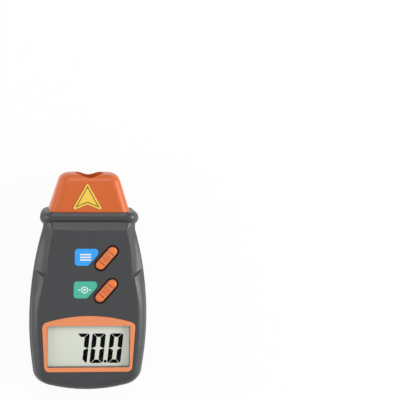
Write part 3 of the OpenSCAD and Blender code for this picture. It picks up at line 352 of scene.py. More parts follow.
@dataclass(frozen=True)
class Finish:
    """Finish of a surface: a Principled shader with drifting colour and gloss.

    Attributes:
        name: The finish's name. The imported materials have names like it, so a word is added.
        colour: The main colour, in hex.
        gloss: Lowest and highest roughness.
        drift: How much the colour drifts, as a share.
        patch: Patches of colour and gloss per metre.
        metallic: 1 for bare metal.
        specular: Strength of the plain reflection.
        coat: Weight of a clear coat.
        alpha: Opacity.
    """

    name: str
    colour: str
    gloss: tuple[float, float] = (0.4, 0.5)
    drift: float = 0.03
    patch: float = 60.0
    metallic: float = 0.0
    specular: float = 0.5
    coat: float = 0.0
    alpha: float = 1.0

    def material(self) -> bpy.types.Material:
        """Builds the material once, and returns the same one after that.

        Returns:
            The material.
        """
        label = self.name + "_finish"
        known = bpy.data.materials.get(label)
        if known is not None:
            return known
        material = bpy.data.materials.new(label)
        material.use_nodes = True
        material.node_tree.nodes.clear()
        board = NodeBoard(material.node_tree)
        board.given["Vector"] = board.add("TexCoord").outputs["Object"]
        inputs = {
            "Base Color": self.paint(board),
            "Roughness": self.roughness(board),
            "Metallic": self.metallic,
            "Specular IOR Level": self.specular,
            "Coat Weight": self.coat,
            "Alpha": self.alpha,
        }
        shader = board.add("BsdfPrincipled", inputs)
        relief = self.relief(board)
        if relief is not None:
            height, depth = relief
            bump = board.add("Bump", {"Height": height, "Distance": depth})
            board.fill(shader.inputs["Normal"], bump.outputs[0])
        self.settle(shader)
        board.add("OutputMaterial", {"Surface": self.surface(board, shader)})
        return material

    def paint(self, board: NodeBoard) -> Socket:
        """Draws the colour."""
        return self.drifting(board, linear(self.colour))

    def drifting(self, board: NodeBoard, colour: object) -> Socket:
        """Lets a colour, or a colour's socket, drift by this finish's share."""
        return board.group(TINT, {"Scale": self.patch, "Color": colour, "Drift": self.drift})

    def roughness(self, board: NodeBoard) -> Socket:
        """Draws the roughness, which drifts between the two values of gloss."""
        low, high = self.gloss
        return board.group(PATCHES, {"Scale": self.patch, "Low": low, "High": high})

    def relief(self, board: NodeBoard) -> Relief | None:
        """Draws the texture's height and gives its depth, or None where the surface is smooth."""
        return None

    def settle(self, shader: bpy.types.Node) -> None:
        """Sets what else the shader needs, as plain values."""

    def surface(self, board: NodeBoard, shader: bpy.types.Node) -> Socket:
        """Gives the shader's socket that the material shows."""
        return shader.outputs[0]


@dataclass(frozen=True)
class Moulded(Finish):
    """Moulded plastic with its mould's fine grain, paler on edges for wear and a painted highlight,
    and darker in seams for dirt and painted shade.

    Attributes:
        grain: Grain cells per metre.
        depth: Depth of the grain.
        rub_and_highlight: How pale the edges are painted, for wear and as a painted highlight, or 0
            for none.
        rub_and_highlight_width: Width of those paler edges.
        dirt_and_shade: How dark the seams and grooves are painted, for dirt and as painted shade, or 0
            for none.
        dirt_and_shade_width: How far that darkening reaches from a seam.
    """

    grain: float = 2600.0
    depth: float = 0.012 * MM
    rub_and_highlight: float = 0.0
    rub_and_highlight_width: float = 0.45 * MM
    dirt_and_shade: float = 0.0
    dirt_and_shade_width: float = 0.8 * MM

    def paint(self, board: NodeBoard) -> Socket:
        """Draws the colour, paler along edges for wear and a painted highlight, and darker in seams
        for dirt and painted shade.

        Args:
            board: The material's nodes.

        Returns:
            The colour's socket.
        """
        paint = super().paint(board)
        # Edges mix toward white for wear and a painted highlight; seams mix toward near-black for dirt
        # and painted shade
        wear_and_light = (
            (RUB_AND_HIGHLIGHT, self.rub_and_highlight_width, self.rub_and_highlight, "ffffff"),
            (DIRT_AND_SHADE, self.dirt_and_shade_width, self.dirt_and_shade, "0b0b0c"),
        )
        for effect, width, strength, colour in wear_and_light:
            if strength > 0:
                share = board.sum("MULTIPLY", board.group(effect, {"Width": width}), strength)
                paint = board.mix(share, paint, linear(colour))
        return paint

    def relief(self, board: NodeBoard) -> Relief | None:
        """Draws the grain."""
        return board.group(GRAIN, {"Scale": self.grain}), self.depth


@dataclass(frozen=True)
class Printed(Finish):
    """Printed film under a clear laminate, with the faint speckle of its ink.

    Attributes:
        speckle: Share of the speckle's lighter colour.
        dots: Dots of the speckle per metre.
        dot_span: Noise values at a dot's rim and in its middle.
        peel: Waves of the laminate's orange peel per metre.
        peel_depth: Depth of the orange peel.
    """

    speckle: float = 0.08
    dots: float = 3200.0
    dot_span: tuple[float, float] = (0.45, 0.75)
    peel: float = 900.0
    peel_depth: float = 0.01 * MM

    def paint(self, board: NodeBoard) -> Socket:
        """Draws the ink with its speckle."""
        dots = board.spread(board.noise(self.dots, detail=1.0), self.dot_span, (0.0, self.speckle))
        return board.mix(dots, super().paint(board), linear("ffffff"))

    def relief(self, board: NodeBoard) -> Relief | None:
        """Draws the laminate's slight orange peel."""
        return board.noise(self.peel, detail=1.0), self.peel_depth


@dataclass(frozen=True)
class Worked(Finish):
    """Bare metal with fine tool marks or scuffs.

    Attributes:
        marks: Scuffs per metre across their run.
        density: How much of the surface they cover.
        turn: Angle that turns the marks about Z, in radians.
        depth: Depth of the marks.
    """

    marks: float = 2400.0
    density: float = 0.3
    turn: float = 0.0
    depth: float = 0.004 * MM

    def scuffs(self, board: NodeBoard) -> Socket:
        """Draws the scuffs' mask, turned to their run."""
        turned = board.pattern("Mapping", {"Rotation": (0.0, 0.0, self.turn)}).outputs[0]
        return board.group(SCUFFS, {"Vector": turned, "Scale": self.marks, "Density": self.density})

    def roughness(self, board: NodeBoard) -> Socket:
        """Draws the roughness, which is highest in the scuffs."""
        return board.spread(self.scuffs(board), UNIT, self.gloss)

    def relief(self, board: NodeBoard) -> Relief | None:
        """Draws the scuffs' depth."""
        return self.scuffs(board), self.depth


@dataclass(frozen=True)
class DisplayFace(Finish):
    """Front polariser of the display: pale, with a soft fall of light across it.

    Attributes:
        shade: Colour at the shaded end.
        reach: Y at the shaded end and at the light end.
        thread: Colour of the electrodes' weave.
        threads: Threads of the weave per metre.
        thread_share: How much of the weave shows.
    """

    shade: str = "ebf1e1"
    reach: tuple[float, float] = (-50.0 * MM, -24.0 * MM)
    thread: str = "8d9585"
    threads: float = 1500.0
    thread_share: float = 0.03

    def paint(self, board: NodeBoard) -> Socket:
        """Draws the pale colour with its fall of light and a fine weave of electrodes.

        Args:
            board: The material's nodes.

        Returns:
            The colour's socket.
        """
        along = board.spread(board.along("Y"), self.reach, UNIT)
        pale = board.mix(along, linear(self.shade), linear(self.colour))
        weave = board.pattern("TexWave", {"Scale": self.threads}).outputs[1]
        faint = board.spread(weave, UNIT, (0.0, self.thread_share))
        return self.drifting(board, board.mix(faint, pale, linear(self.thread)))


@dataclass(frozen=True)
class ClearPane(Finish):
    """Clear window or glass, with faint wiping scuffs.

    Attributes:
        transmission: Share of the light that passes as through glass.
        index: Index of refraction.
        scuffs: Wiping scuffs per metre across their run.
        density: How much of the surface they cover.
    """

    transmission: float = 0.0
    index: float = 1.49
    scuffs: float = 1600.0
    density: float = 0.16

    def roughness(self, board: NodeBoard) -> Socket:
        """Draws a low roughness that rises in the wiping scuffs."""
        mask = board.group(SCUFFS, {"Scale": self.scuffs, "Density": self.density})
        return board.spread(mask, UNIT, self.gloss)

    def settle(self, shader: bpy.types.Node) -> None:
        """Sets the glass."""
        shader.inputs["Transmission Weight"].default_value = self.transmission
        shader.inputs["IOR"].default_value = self.index


@dataclass(frozen=True)
class Laminate(Finish):
    """Circuit board: copper tracks under green solder mask, with tinned pads.

    Attributes:
        track: Colour of the mask over copper.
        pad: Colour of the tinned pads.
        cells: Cells between the tracks per metre.
        pads: Pads per metre.
        cloth: Threads of the cloth under the mask per metre.
        cloth_depth: Depth of the cloth.
    """

    track: str = "3f9a5c"
    pad: str = "c9cac4"
    cells: float = 330.0
    pads: float = 420.0
    cloth: float = 1400.0
    cloth_depth: float = 0.02 * MM

    def paint(self, board: NodeBoard) -> Socket:
        """Draws the mask, the tracks under it and the pads.

        Args:
            board: The material's nodes.

        Returns:
            The colour's socket.
        """
        track_edge, pad_edge, fall = (0.05, 0.08), (0.16, 0.2), (1.0, 0.0)
        inputs = {"Scale": self.pads, "Randomness": 0.55}
        cells = board.pattern("TexVoronoi", {"Scale": self.cells}, feature="DISTANCE_TO_EDGE")
        dots = board.pattern("TexVoronoi", inputs, distance="CHEBYCHEV")
        tracks = board.spread(cells.outputs["Distance"], track_edge, fall)
        pads = board.spread(dots.outputs["Distance"], pad_edge, fall)
        mask = board.mix(tracks, super().paint(board), linear(self.track))
        return board.mix(pads, mask, linear(self.pad))

    def relief(self, board: NodeBoard) -> Relief | None:
        """Draws the cloth under the mask."""
        return board.noise(self.cloth, detail=1.0), self.cloth_depth


@dataclass(frozen=True)
class Layered(Finish):
    """Layered strip: thin dark carbon layers between soft insulating ones.

    Attributes:
        layer: The dark layers' colour.
        pitch: Layers per metre.
        waver: How far the layers waver.
        fade: Wave values at a dark layer's rim and in its middle.
    """

    layer: str = "2a2224"
    pitch: float = 900.0
    waver: float = 0.4
    fade: tuple[float, float] = (0.45, 0.6)

    def paint(self, board: NodeBoard) -> Socket:
        """Draws the layers."""
        bands = board.pattern("TexWave", {"Scale": self.pitch, "Distortion": self.waver}).outputs[1]
        return board.mix(board.spread(bands, self.fade, UNIT), linear(self.colour), linear(self.layer))


@dataclass(frozen=True)
class Jacket(Finish):
    """Battery jacket: a dark lacquer with one warm band at the terminal end.

    Attributes:
        band: The band's colour.
        line: The thin line's colour between them.
        edge: Y where the band starts.
        blend: How far the two colours blend there.
        line_reach: How far the line reaches to each side of the edge.
    """

    band: str = "b98a45"
    line: str = "d9dcde"
    edge: float = -22.0 * MM
    blend: float = 0.1 * MM
    line_reach: float = 0.45 * MM

    def paint(self, board: NodeBoard) -> Socket:
        """Draws the lacquer, the band and the line.

        Args:
            board: The material's nodes.

        Returns:
            The colour's socket.
        """
        along = board.along("Y")
        band = board.spread(along, (self.edge, self.edge + self.blend), UNIT)
        line = board.sum("COMPARE", along, self.edge, self.line_reach)
        lacquer = board.mix(band, linear(self.colour), linear(self.band))
        return self.drifting(board, board.mix(line, lacquer, linear(self.line)))


@dataclass(frozen=True)
class PairedLeads(Moulded):
    """Jackets of a pair of leads: the main colour on the left, another one on the right.

    Attributes:
        right: The right lead's colour.
    """

    right: str = "b3261d"

    def paint(self, board: NodeBoard) -> Socket:
        """Draws the two colours, which part at X 0."""
        side = board.sum("GREATER_THAN", board.along("X"), 0.0)
        return self.drifting(board, board.mix(side, linear(self.colour), linear(self.right)))


@dataclass(frozen=True)
class StudioPaper(Finish):
    """Studio floor: white paper that is seen as plain white and still keeps a soft shadow.

    Attributes:
        white: Share of plain white where the floor is seen or mirrored.
    """

    white: float = 0.93

    def surface(self, board: NodeBoard, shader: bpy.types.Node) -> Socket:
        """Blends plain white into the paper for what is seen or mirrored.

        Args:
            board: The material's nodes.
            shader: The paper's shader.

        Returns:
            The blend's socket.
        """
        seen = board.sum("MULTIPLY", seen_or_mirrored(board), self.white)
        glow = board.add("Emission", {"Color": linear("ffffff"), "Strength": 1.0})
        both = board.add("MixShader", {0: seen, 1: shader.outputs[0], 2: glow.outputs[0]})
        return both.outputs[0]


LABEL_FILM = {"gloss": (0.3, 0.4), "drift": 0.02, "coat": 0.15}
WIRE_JACKET = {"gloss": (0.3, 0.42), "grain": 900.0, "depth": 0.008 * MM}

# Each moulding's paler edges are wear and a painted highlight; its darker seams are dirt and painted
# shade
CASE = Moulded(
    "case_plastic",
    "3a3b3d",
    gloss=(0.34, 0.42),
    specular=0.42,
    rub_and_highlight=0.04,
    dirt_and_shade=0.8,
    dirt_and_shade_width=1.0 * MM,
)
NOSE = Moulded(
    "nose_plastic",
    "d1601e",
    gloss=(0.3, 0.38),
    drift=0.02,
    specular=0.5,
    depth=0.005 * MM,
    rub_and_highlight=0.08,
    dirt_and_shade=0.7,
    dirt_and_shade_width=1.0 * MM,
)
FRAME = Moulded(
    "frame_plastic",
    "f09363",
    gloss=(0.28, 0.36),
    drift=0.02,
    specular=0.4,
    depth=0.004 * MM,
    dirt_and_shade=0.4,
)
KEY = Moulded(
    "key_plastic",
    "ee8044",
    gloss=(0.34, 0.42),
    drift=0.025,
    specular=0.4,
    depth=0.006 * MM,
    rub_and_highlight=0.16,
    dirt_and_shade=0.35,
)
PANE = ClearPane("pane_clear", "1b2024", gloss=(0.03, 0.2), drift=0.0, alpha=0.03)
LENS = ClearPane("lens_glass", "e9f1ff", gloss=(0.01, 0.08), drift=0.0, transmission=1.0)
LCD_FACE = DisplayFace("display_face", "eff5e6", gloss=(0.3, 0.36), drift=0.012, patch=45.0)
LCD_BLACK = Moulded("display_black", "070708", gloss=(0.5, 0.6), depth=0.002 * MM, specular=0.02)
HOLDER = Moulded("holder_plastic", "d3d3cb", gloss=(0.45, 0.6))
# Near-black for the ring of painted shade round each key's opening
KEY_GAP_SHADE = Moulded("key_seal", "101113", gloss=(0.5, 0.62), depth=0.002 * MM, specular=0.2)
# Grey for the painted shade line along the display's edge
DISPLAY_EDGE_SHADE = Moulded("display_seal", "8f9ba0", gloss=(0.4, 0.5), depth=0.002 * MM)
ZEBRA = Layered("zebra_rubber", "dba3ae", gloss=(0.5, 0.6))
LAMINATE = Laminate("board_laminate", "17693a", gloss=(0.25, 0.35), coat=0.3)
EPOXY = Moulded("blob_epoxy", "121214", gloss=(0.12, 0.24), grain=500.0, depth=0.02 * MM)
CAN = Worked("can_metal", "b4b7ba", gloss=(0.24, 0.45), metallic=1.0)
STEEL = Worked("screw_steel", "a9abad", gloss=(0.28, 0.5), metallic=1.0, marks=3600.0, turn=0.6)
BRASS = Worked("barrel_brass", "c49a4c", gloss=(0.22, 0.4), metallic=1.0)
SLEEVE = Moulded("capacitor_sleeve", "2b3266", gloss=(0.2, 0.3), depth=0.004 * MM)
PLUNGER = Moulded("plunger_plastic", "e6e6e0", gloss=(0.4, 0.5))
SWITCH = Moulded("switch_plastic", "222326", gloss=(0.4, 0.55))
BLUE = Printed("label_blue", "14a4fc", **LABEL_FILM)
GREEN = Printed("label_green", "3cb89b", **LABEL_FILM)
YELLOW = Printed("arrow_yellow", "f3c93f", **LABEL_FILM)
GREY_FILM = Printed("label_grey", "c6c9cb", gloss=(0.32, 0.42), drift=0.02, coat=0.1)
INK_WHITE = Printed("ink_white", "f5f7f8", gloss=(0.35, 0.45), drift=0.01, speckle=0.0)
INK_DARK = Printed("ink_dark", "1b1b18", gloss=(0.35, 0.45), drift=0.02, speckle=0.03)
TUBE = Moulded("tube_plastic", "1f2023", gloss=(0.55, 0.7))
FILTER = ClearPane("photodiode_resin", "2e1f26", gloss=(0.05, 0.15), drift=0.0, coat=0.4)
BRACKET = Moulded("bracket_plastic", "393b3e", gloss=(0.45, 0.6))
JACKET = Jacket("battery_jacket", "2c3a4d", gloss=(0.25, 0.35), metallic=0.35, coat=0.3)
VINYL = Moulded("snap_vinyl", "1a1b1d", gloss=(0.45, 0.6), grain=900.0, depth=0.02 * MM)
SUPPLY_LEADS = PairedLeads("lead_pair", "1b1b1d", **WIRE_JACKET)
YELLOW_LEAD = Moulded("lead_yellow", "cdb03a", **WIRE_JACKET)
PAPER = StudioPaper("studio_paper", "fbfbfb", gloss=(0.85, 0.9), drift=0.004, specular=0.1)


# Pieces


def body_of(node: str) -> str:
    """Gives the CAD body that a node belongs to."""
    bodies = frame["record"]["behaviour"]["bodies"]
    return next(body for body, nodes in bodies.items() if node in nodes)


def place_piece(name: str, shape: Shape, finish: Finish, like: str, replaces: bool = False) -> None:
    """Makes a piece of a finished shape, and lets it ride.

    Args:
        name: The piece's name.
        shape: Its mesh, in place. It is freed.
        finish: Its finish.
        like: The CAD node whose body it takes.
        replaces: Whether it stands for that node.
    """
    mesh = bpy.data.meshes.new(name)
    shape.to_mesh(mesh)
    shape.free()
    for face in mesh.polygons:
        face.use_smooth = True
    mesh.set_sharp_from_angle(angle=SMOOTH_ANGLE)
    piece = bpy.data.objects.new(name, mesh)
    bpy.context.scene.collection.objects.link(piece)
    mesh.materials.append(finish.material())
    normals = piece.modifiers.new("even_shading", "WEIGHTED_NORMAL")
    normals.keep_sharp = True
    normals.weight = NORMAL_WEIGHT
    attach(piece, body_of(like))
    if replaces:
        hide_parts(like)
    LOG.info("%s: %d faces, %s", name, len(mesh.polygons), finish.name)


@dataclass
class Skin:
    """Merged copy of a CAD node, with its edges softened, that stands for the node.

    Attributes:
        node: The CAD node.
        finish: The copy's finish.
        edge: Width of the softened edges, or 0 for none.
        edge_deg: Edges with a larger angle are softened.
    """

    node: str
    finish: Finish
    edge: float = 0.12 * MM
    edge_deg: float = 50.0

    def shape(self) -> Shape:
        """Merges the node's loose triangles and softens its edges.

        Returns:
            The mesh, in place.
        """
        shape = bmesh.new()
        shape.from_mesh(frame["nodes"][self.node].data)
        bmesh.ops.remove_doubles(shape, verts=shape.verts[:], dist=MERGE_DISTANCE)
        bmesh.ops.dissolve_limit(
            shape, angle_limit=FLAT_ANGLE, verts=shape.verts[:], edges=shape.edges[:]
        )
        if self.edge > 0:
            limit = math.radians(self.edge_deg)
            sharp = [e for e in shape.edges if e.is_manifold and e.calc_face_angle() > limit]
            long = [e for e in sharp if e.calc_length() > SHORTEST_BEVEL * self.edge]
            bmesh.ops.bevel(shape, geom=long, offset=self.edge, segments=2, affect="EDGES", **BEVEL)
        return shape

    def build(self) -> None:
        """Makes the piece that stands for the node."""
        place_piece(self.node + "_skin", self.shape(), self.finish, self.node, replaces=True)


def skin_all(finishes: dict[str, Finish], soft: float) -> None:
    """Makes the pieces that stand for several CAD nodes, all with edges as soft."""
    for node, finish in finishes.items():
        Skin(node, finish, soft).build()


def dress_all(finishes: dict[str, Finish]) -> None:
    """Gives finishes to CAD nodes that keep their own meshes.

    Args:
        finishes: Each node's finish.
    """
    for node, finish in finishes.items():
        thing = frame["nodes"][node]
        thing.data.materials.clear()
        thing.data.materials.append(finish.material())
        LOG.info("%s: %s", node, finish.name)


def sheet(corners: list[tuple[float, float]]) -> Shape:
    """Makes one flat face at Z 0 from its corners, in order.

    Args:
        corners: The corners' X and Y.

    Returns:
        The face.
    """
    shape = bmesh.new()
    shape.faces.new([shape.verts.new((x, y, 0.0)) for x, y in corners])
    shape.normal_update()
    return shape


def box_sheet(width: float, height: float) -> Shape:
    """Makes a flat rectangle about the origin."""
    x, y = width / 2, height / 2
    return sheet([(-x, -y), (x, -y), (x, y), (-x, y)])


def disc_sheet(radius: float) -> Shape:
    """Makes a flat disc about the origin.

    Args:
        radius: The disc's radius.

    Returns:
        The disc.
    """
    shape = bmesh.new()
    bmesh.ops.create_circle(shape, cap_ends=True, segments=48, radius=radius)
    shape.normal_update()
    return shape


def round_sheet(shape: Shape, radius: float, steps: int = 5) -> None:
    """Rounds the corners of a flat face, with so many edges round each."""
    corners = shape.verts[:]
    bmesh.ops.bevel(shape, geom=corners, offset=radius, segments=steps, affect="VERTICES", **BEVEL)


def keep_line(shape: Shape, inset: float, width: float) -> None:
    """Leaves only a line that follows a flat face's edge from inside.

    Args:
        shape: The face.
        inset: Distance of the line from the face's edge.
        width: The line's width.
    """
    shape.normal_update()
    middle = shape.faces[:]
    for distance in (inset, width):
        rim = bmesh.ops.inset_region(
            shape, faces=middle, thickness=distance, use_boundary=True, use_even_offset=True
        )["faces"]
        if distance == inset:
            bmesh.ops.delete(shape, geom=rim, context="FACES")
    bmesh.ops.delete(shape, geom=middle, context="FACES")


def thicken(shape: Shape, thickness: float) -> None:
    """Gives flat faces at Z 0 a thickness, upward.

    Args:
        shape: The faces.
        thickness: The thickness.
    """
    raised = bmesh.ops.extrude_face_region(shape, geom=shape.faces[:], use_keep_orig=True)
    top = [g for g in raised["geom"] if isinstance(g, bmesh.types.BMVert)]
    bmesh.ops.translate(shape, verts=top, vec=(0.0, 0.0, thickness))
    bmesh.ops.recalc_face_normals(shape, faces=shape.faces[:])


def move(shape: Shape, place: Place) -> None:
    """Moves a mesh."""
    bmesh.ops.translate(shape, verts=shape.verts[:], vec=place)


def turn(shape: Shape, degrees: float, axis: str) -> None:
    """Turns a mesh about an axis through the origin."""
    spin = Matrix.Rotation(math.radians(degrees), 3, axis)
    bmesh.ops.rotate(shape, verts=shape.verts[:], cent=(0.0, 0.0, 0.0), matrix=spin)


def join_shapes(shapes: list[Shape]) -> Shape:
    """Puts several meshes into one, and frees them.

    Args:
        shapes: The meshes.

    Returns:
        The joined mesh.
    """
    joined = bmesh.new()
    for shape in shapes:
        mesh = bpy.data.meshes.new("part_of_a_piece")
        shape.to_mesh(mesh)
        shape.free()
        joined.from_mesh(mesh)
        bpy.data.meshes.remove(mesh)
    return joined


@dataclass
class Casing:
    """The two shells, the nose cover and the battery door.

    Attributes:
        soft: Width of the shells' softened edges.
        mark_w: Width of the door's moulded arrow.
        mark_h: Height of the arrow.
        mark_t: Thickness of the arrow, half of it sunk in the door.
        mark_bend: Depth of the arrow's notch, as a share of its height.
        mark_corner: Radius of the arrow's corners.
        mark_from_grip: Distance of the arrow from the door's grip end.
    """

    soft: float = 0.12 * MM
    mark_w: float = 9.0 * MM
    mark_h: float = 6.0 * MM
    mark_t: float = 0.3 * MM
    mark_bend: float = 0.45
    mark_corner: float = 0.3 * MM
    mark_from_grip: float = 26.0 * MM

    def build(self) -> None:
        """Builds the casing's pieces."""
        finishes = {
            "front_shell": CASE,
            "rear_shell": CASE,
            "nose_cap": NOSE,
            "battery_door": CASE,
        }
        skin_all(finishes, self.soft)
        self.door_arrow()

    def door_arrow(self) -> None:
        """Makes the raised arrow that shows which way the door slides."""
        low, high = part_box("battery_door")
        half, bend = self.mark_w / 2, self.mark_bend * self.mark_h
        shape = sheet([(-half, self.mark_h), (0.0, 0.0), (half, self.mark_h), (0.0, bend)])
        round_sheet(shape, self.mark_corner)
        thicken(shape, self.mark_t)
        move(shape, (0.0, high.y - self.mark_from_grip, low.z - self.mark_t / 2))
        place_piece("door_arrow", shape, CASE, "battery_door")


@dataclass
class Display:
    """The window's frame and pane, the display behind it and its digits.

    Attributes:
        soft: Width of the frame's softened edges.
        line: Width of the grey line round the display's active face, painted shade along its edge.
        line_in: Distance of that line from the display's edge.
        line_t: Thickness of the line.
    """

    soft: float = 0.22 * MM
    line: float = 0.35 * MM
    line_in: float = 0.75 * MM
    line_t: float = 0.03 * MM

    def build(self) -> None:
        """Builds the display's pieces."""
        skin_all({"window_frame": FRAME}, self.soft)
        finishes = {
            "window_pane": PANE,
            "lcd_panel": LCD_FACE,
            "lcd_digits": LCD_BLACK,
            "lcd_holder": HOLDER,
            "zebra_strips": ZEBRA,
        }
        dress_all(finishes)
        self.edge_shade_line()

    def edge_shade_line(self) -> None:
        """Makes the thin grey line at the display's edge, painted shade along that edge."""
        # The line paints the shade along the display's edge
        low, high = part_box("lcd_panel")
        size = high - low
        middle = (low + high) / 2
        shape = box_sheet(size.x, size.y)
        keep_line(shape, self.line_in, self.line)
        thicken(shape, self.line_t)
        move(shape, (middle.x, middle.y, high.z))
        place_piece("display_edge_shade_line", shape, DISPLAY_EDGE_SHADE, "lcd_panel")


class Icon(Enum):
    """Generic sign on a key's label."""

    BARS = "bars"
    TARGET = "target"


@dataclass
class Keys:
    """The two keys with their labels and the switches under them.

    Attributes:
        soft: Width of the keys' softened edges.
        label_soft: Width of the labels' softened edges.
        ink: Thickness of a sign's ink.
        sign_left: How far a sign stands left of its label's middle.
        bar_w: Width of a bar.
        bar_h: Height of a bar.
        bar_pitch: Distance from bar to bar.
        bar_corner: Radius of a bar's corners.
        target_r: Outer radius of the target's ring.
        target_line: Width of the ring.
        target_dot: Radius of the dot.
        tick: Length of the ticks beside the ring.
        tick_gap: Gap between the ring and a tick.
        key_len: Length of a key.
        key_w: Width of a key.
        key_proud: Height of a key over the panel.
        key_deg: Angle of the keys over the X axis.
        gap: Gap between a key and its opening, up to the opening's chamfer.
        shade_ring_w: Width of the dark ring round the opening, which paints the gap's shade.
        shade_ring_t: Thickness of that ring.
        end_share: Radius of the ring's ends, as a share of half its width.
    """

    soft: float = 0.14 * MM
    label_soft: float = 0.05 * MM
    ink: float = 0.03 * MM
    sign_left: float = 0.5 * MM
    bar_w: float = 6.6 * MM
    bar_h: float = 0.85 * MM
    bar_pitch: float = 1.6 * MM
    bar_corner: float = 0.25 * MM
    target_r: float = 2.1 * MM
    target_line: float = 0.55 * MM
    target_dot: float = 0.7 * MM
    tick: float = 1.5 * MM
    tick_gap: float = 0.35 * MM
    key_len: float = 16.2 * MM
    key_w: float = 5.5 * MM
    key_proud: float = 1.0 * MM
    key_deg: float = 49.3
    gap: float = 0.62 * MM
    shade_ring_w: float = 0.55 * MM
    shade_ring_t: float = 0.28 * MM
    end_share: float = 0.998

    def build(self) -> None:
        """Builds the keys' pieces."""
        signs = {"mem": (BLUE, Icon.BARS), "test": (GREEN, Icon.TARGET)}
        for key, (film, icon) in signs.items():
            Skin(key + "_button", KEY, self.soft, edge_deg=40.0).build()
            Skin(key + "_label", film, self.label_soft).build()
            dress_all({key + "_plunger": PLUNGER, key + "_switch": SWITCH})
            self.sign(key + "_label", icon)
            self.gap_shade_ring(key)

    def gap_shade_ring(self, key: str) -> None:
        """Makes a dark ring round a key's opening, on the opening's chamfer, as painted shade of the
        gap.

        Args:
            key: The start of the key's node names.
        """
        low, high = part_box(key + "_button")
        # This ring paints the shade of the gap round the key
        reach = self.gap + self.shade_ring_w
        shape = box_sheet(self.key_len + 2 * reach, self.key_w + 2 * reach)
        round_sheet(shape, self.end_share * (self.key_w / 2 + reach), steps=12)
        keep_line(shape, NO_INSET, self.shade_ring_w)
        thicken(shape, self.shade_ring_t)
        turn(shape, self.key_deg, "Z")
        top_z = high.z - self.key_proud + self.ink
        move(shape, ((low.x + high.x) / 2, (low.y + high.y) / 2, top_z - self.shade_ring_t))
        place_piece(key + "_seal", shape, KEY_GAP_SHADE, "front_shell")

    def sign(self, label: str, icon: Icon) -> None:
        """Prints a sign in the middle of a label.

        Args:
            label: The label's CAD node.
            icon: The sign.
        """
        low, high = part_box(label)
        shape = self.bars() if icon is Icon.BARS else self.target()
        x = (low.x + high.x) / 2 - self.sign_left
        move(shape, (x, (low.y + high.y) / 2, high.z))
        place_piece(label + "_sign", shape, INK_WHITE, label)

    def bars(self) -> Shape:
        """Makes three stacked bars.

        Returns:
            The bars.
        """
        shapes = []
        for row in (-1, 0, 1):
            bar = box_sheet(self.bar_w, self.bar_h)
            round_sheet(bar, self.bar_corner)
            thicken(bar, self.ink)
            move(bar, (0.0, row * self.bar_pitch, 0.0))
            shapes.append(bar)
        return join_shapes(shapes)

    def target(self) -> Shape:
        """Makes a ring with a dot in it and a tick on each side.

        Returns:
            The sign.
        """
        ring = disc_sheet(self.target_r)
        keep_line(ring, NO_INSET, self.target_line)
        shapes = [ring, disc_sheet(self.target_dot)]
        for side in (-1, 1):
            tick = box_sheet(self.tick, self.target_line)
            move(tick, (side * (self.target_r + self.tick_gap + self.tick / 2), 0.0, 0.0))
            shapes.append(tick)
        sign = join_shapes(shapes)
        thicken(sign, self.ink)
        return sign


@dataclass
class BeamArrow:
    """Yellow film arrow on the nose, with a dark line inside its edge.

    Attributes:
        width: Width of the arrow's tail, corner to corner.
        height: Length of the arrow.
        notch: Depth of the notch in its tail.
        corner: Radius of the film's corners.
        inset: Distance of the line from the arrow's edge.
        line: Width of the line.
        ink: Thickness of the line.
        soft: Width of the film's softened edges.
    """

    width: float = 18.8 * MM
    height: float = 16.8 * MM
    notch: float = 3.8 * MM
    corner: float = 0.9 * MM
    inset: float = 1.05 * MM
    line: float = 0.45 * MM
    ink: float = 0.03 * MM
    soft: float = 0.04 * MM

    def build(self) -> None:
        """Builds the arrow and its line."""
        skin_all({"aim_arrow": YELLOW}, self.soft)
        self.outline()

    def outline(self) -> None:
        """Makes the line, laid on the arrow's slope."""
        film = frame["nodes"]["aim_arrow"].data
        top = max(film.polygons, key=lambda face: face.area * face.normal.z)
        slope = math.atan2(top.normal.y, top.normal.z)
        low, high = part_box("aim_arrow")
        half = self.width / 2
        corners = [(-half, 0.0), (0.0, self.notch), (half, 0.0), (0.0, self.height)]
        shape = sheet(corners)
        keep_line(shape, self.inset, self.line)
        thicken(shape, self.ink)
        turn(shape, -math.degrees(slope), "X")
        point = film.vertices[top.vertices[0]].co
        side = math.hypot(half, self.height)
        rounded_off = self.corner * (side / half - 1)
        y = high.y - (self.height - rounded_off) * math.cos(slope)
        z = point.z - math.tan(slope) * (y - point.y)
        move(shape, ((low.x + high.x) / 2, y, z))
        place_piece("aim_arrow_line", shape, INK_DARK, "aim_arrow")


class Board:
    """The main board with what is soldered on it."""

    def build(self) -> None:
        """Dresses the board's nodes."""
        finishes = {
            "main_board": LAMINATE,
            "crystal": CAN,
            "controller_blob": EPOXY,
            "board_capacitors": SLEEVE,
            "board_screws": STEEL,
        }
        dress_all(finishes)


@dataclass
class Optics:
    """The laser and the receiver on their bracket.

    Attributes:
        soft: Width of the tubes' softened edges.
    """

    soft: float = 0.08 * MM

    def build(self) -> None:
        """Builds the optics' pieces."""
        mouldings = {"laser_barrel": BRASS, "receiver_tube": TUBE, "optics_bracket": BRACKET}
        skin_all(mouldings, self.soft)
        small = {
            "laser_diode": CAN,
            "laser_lens": LENS,
            "receiver_lens": LENS,
            "photodiode": FILTER,
        }
        skin_all(small, 0.0)
        dress_all({"sensor_board": LAMINATE, "bracket_screws": STEEL, "sensor_leads": YELLOW_LEAD})


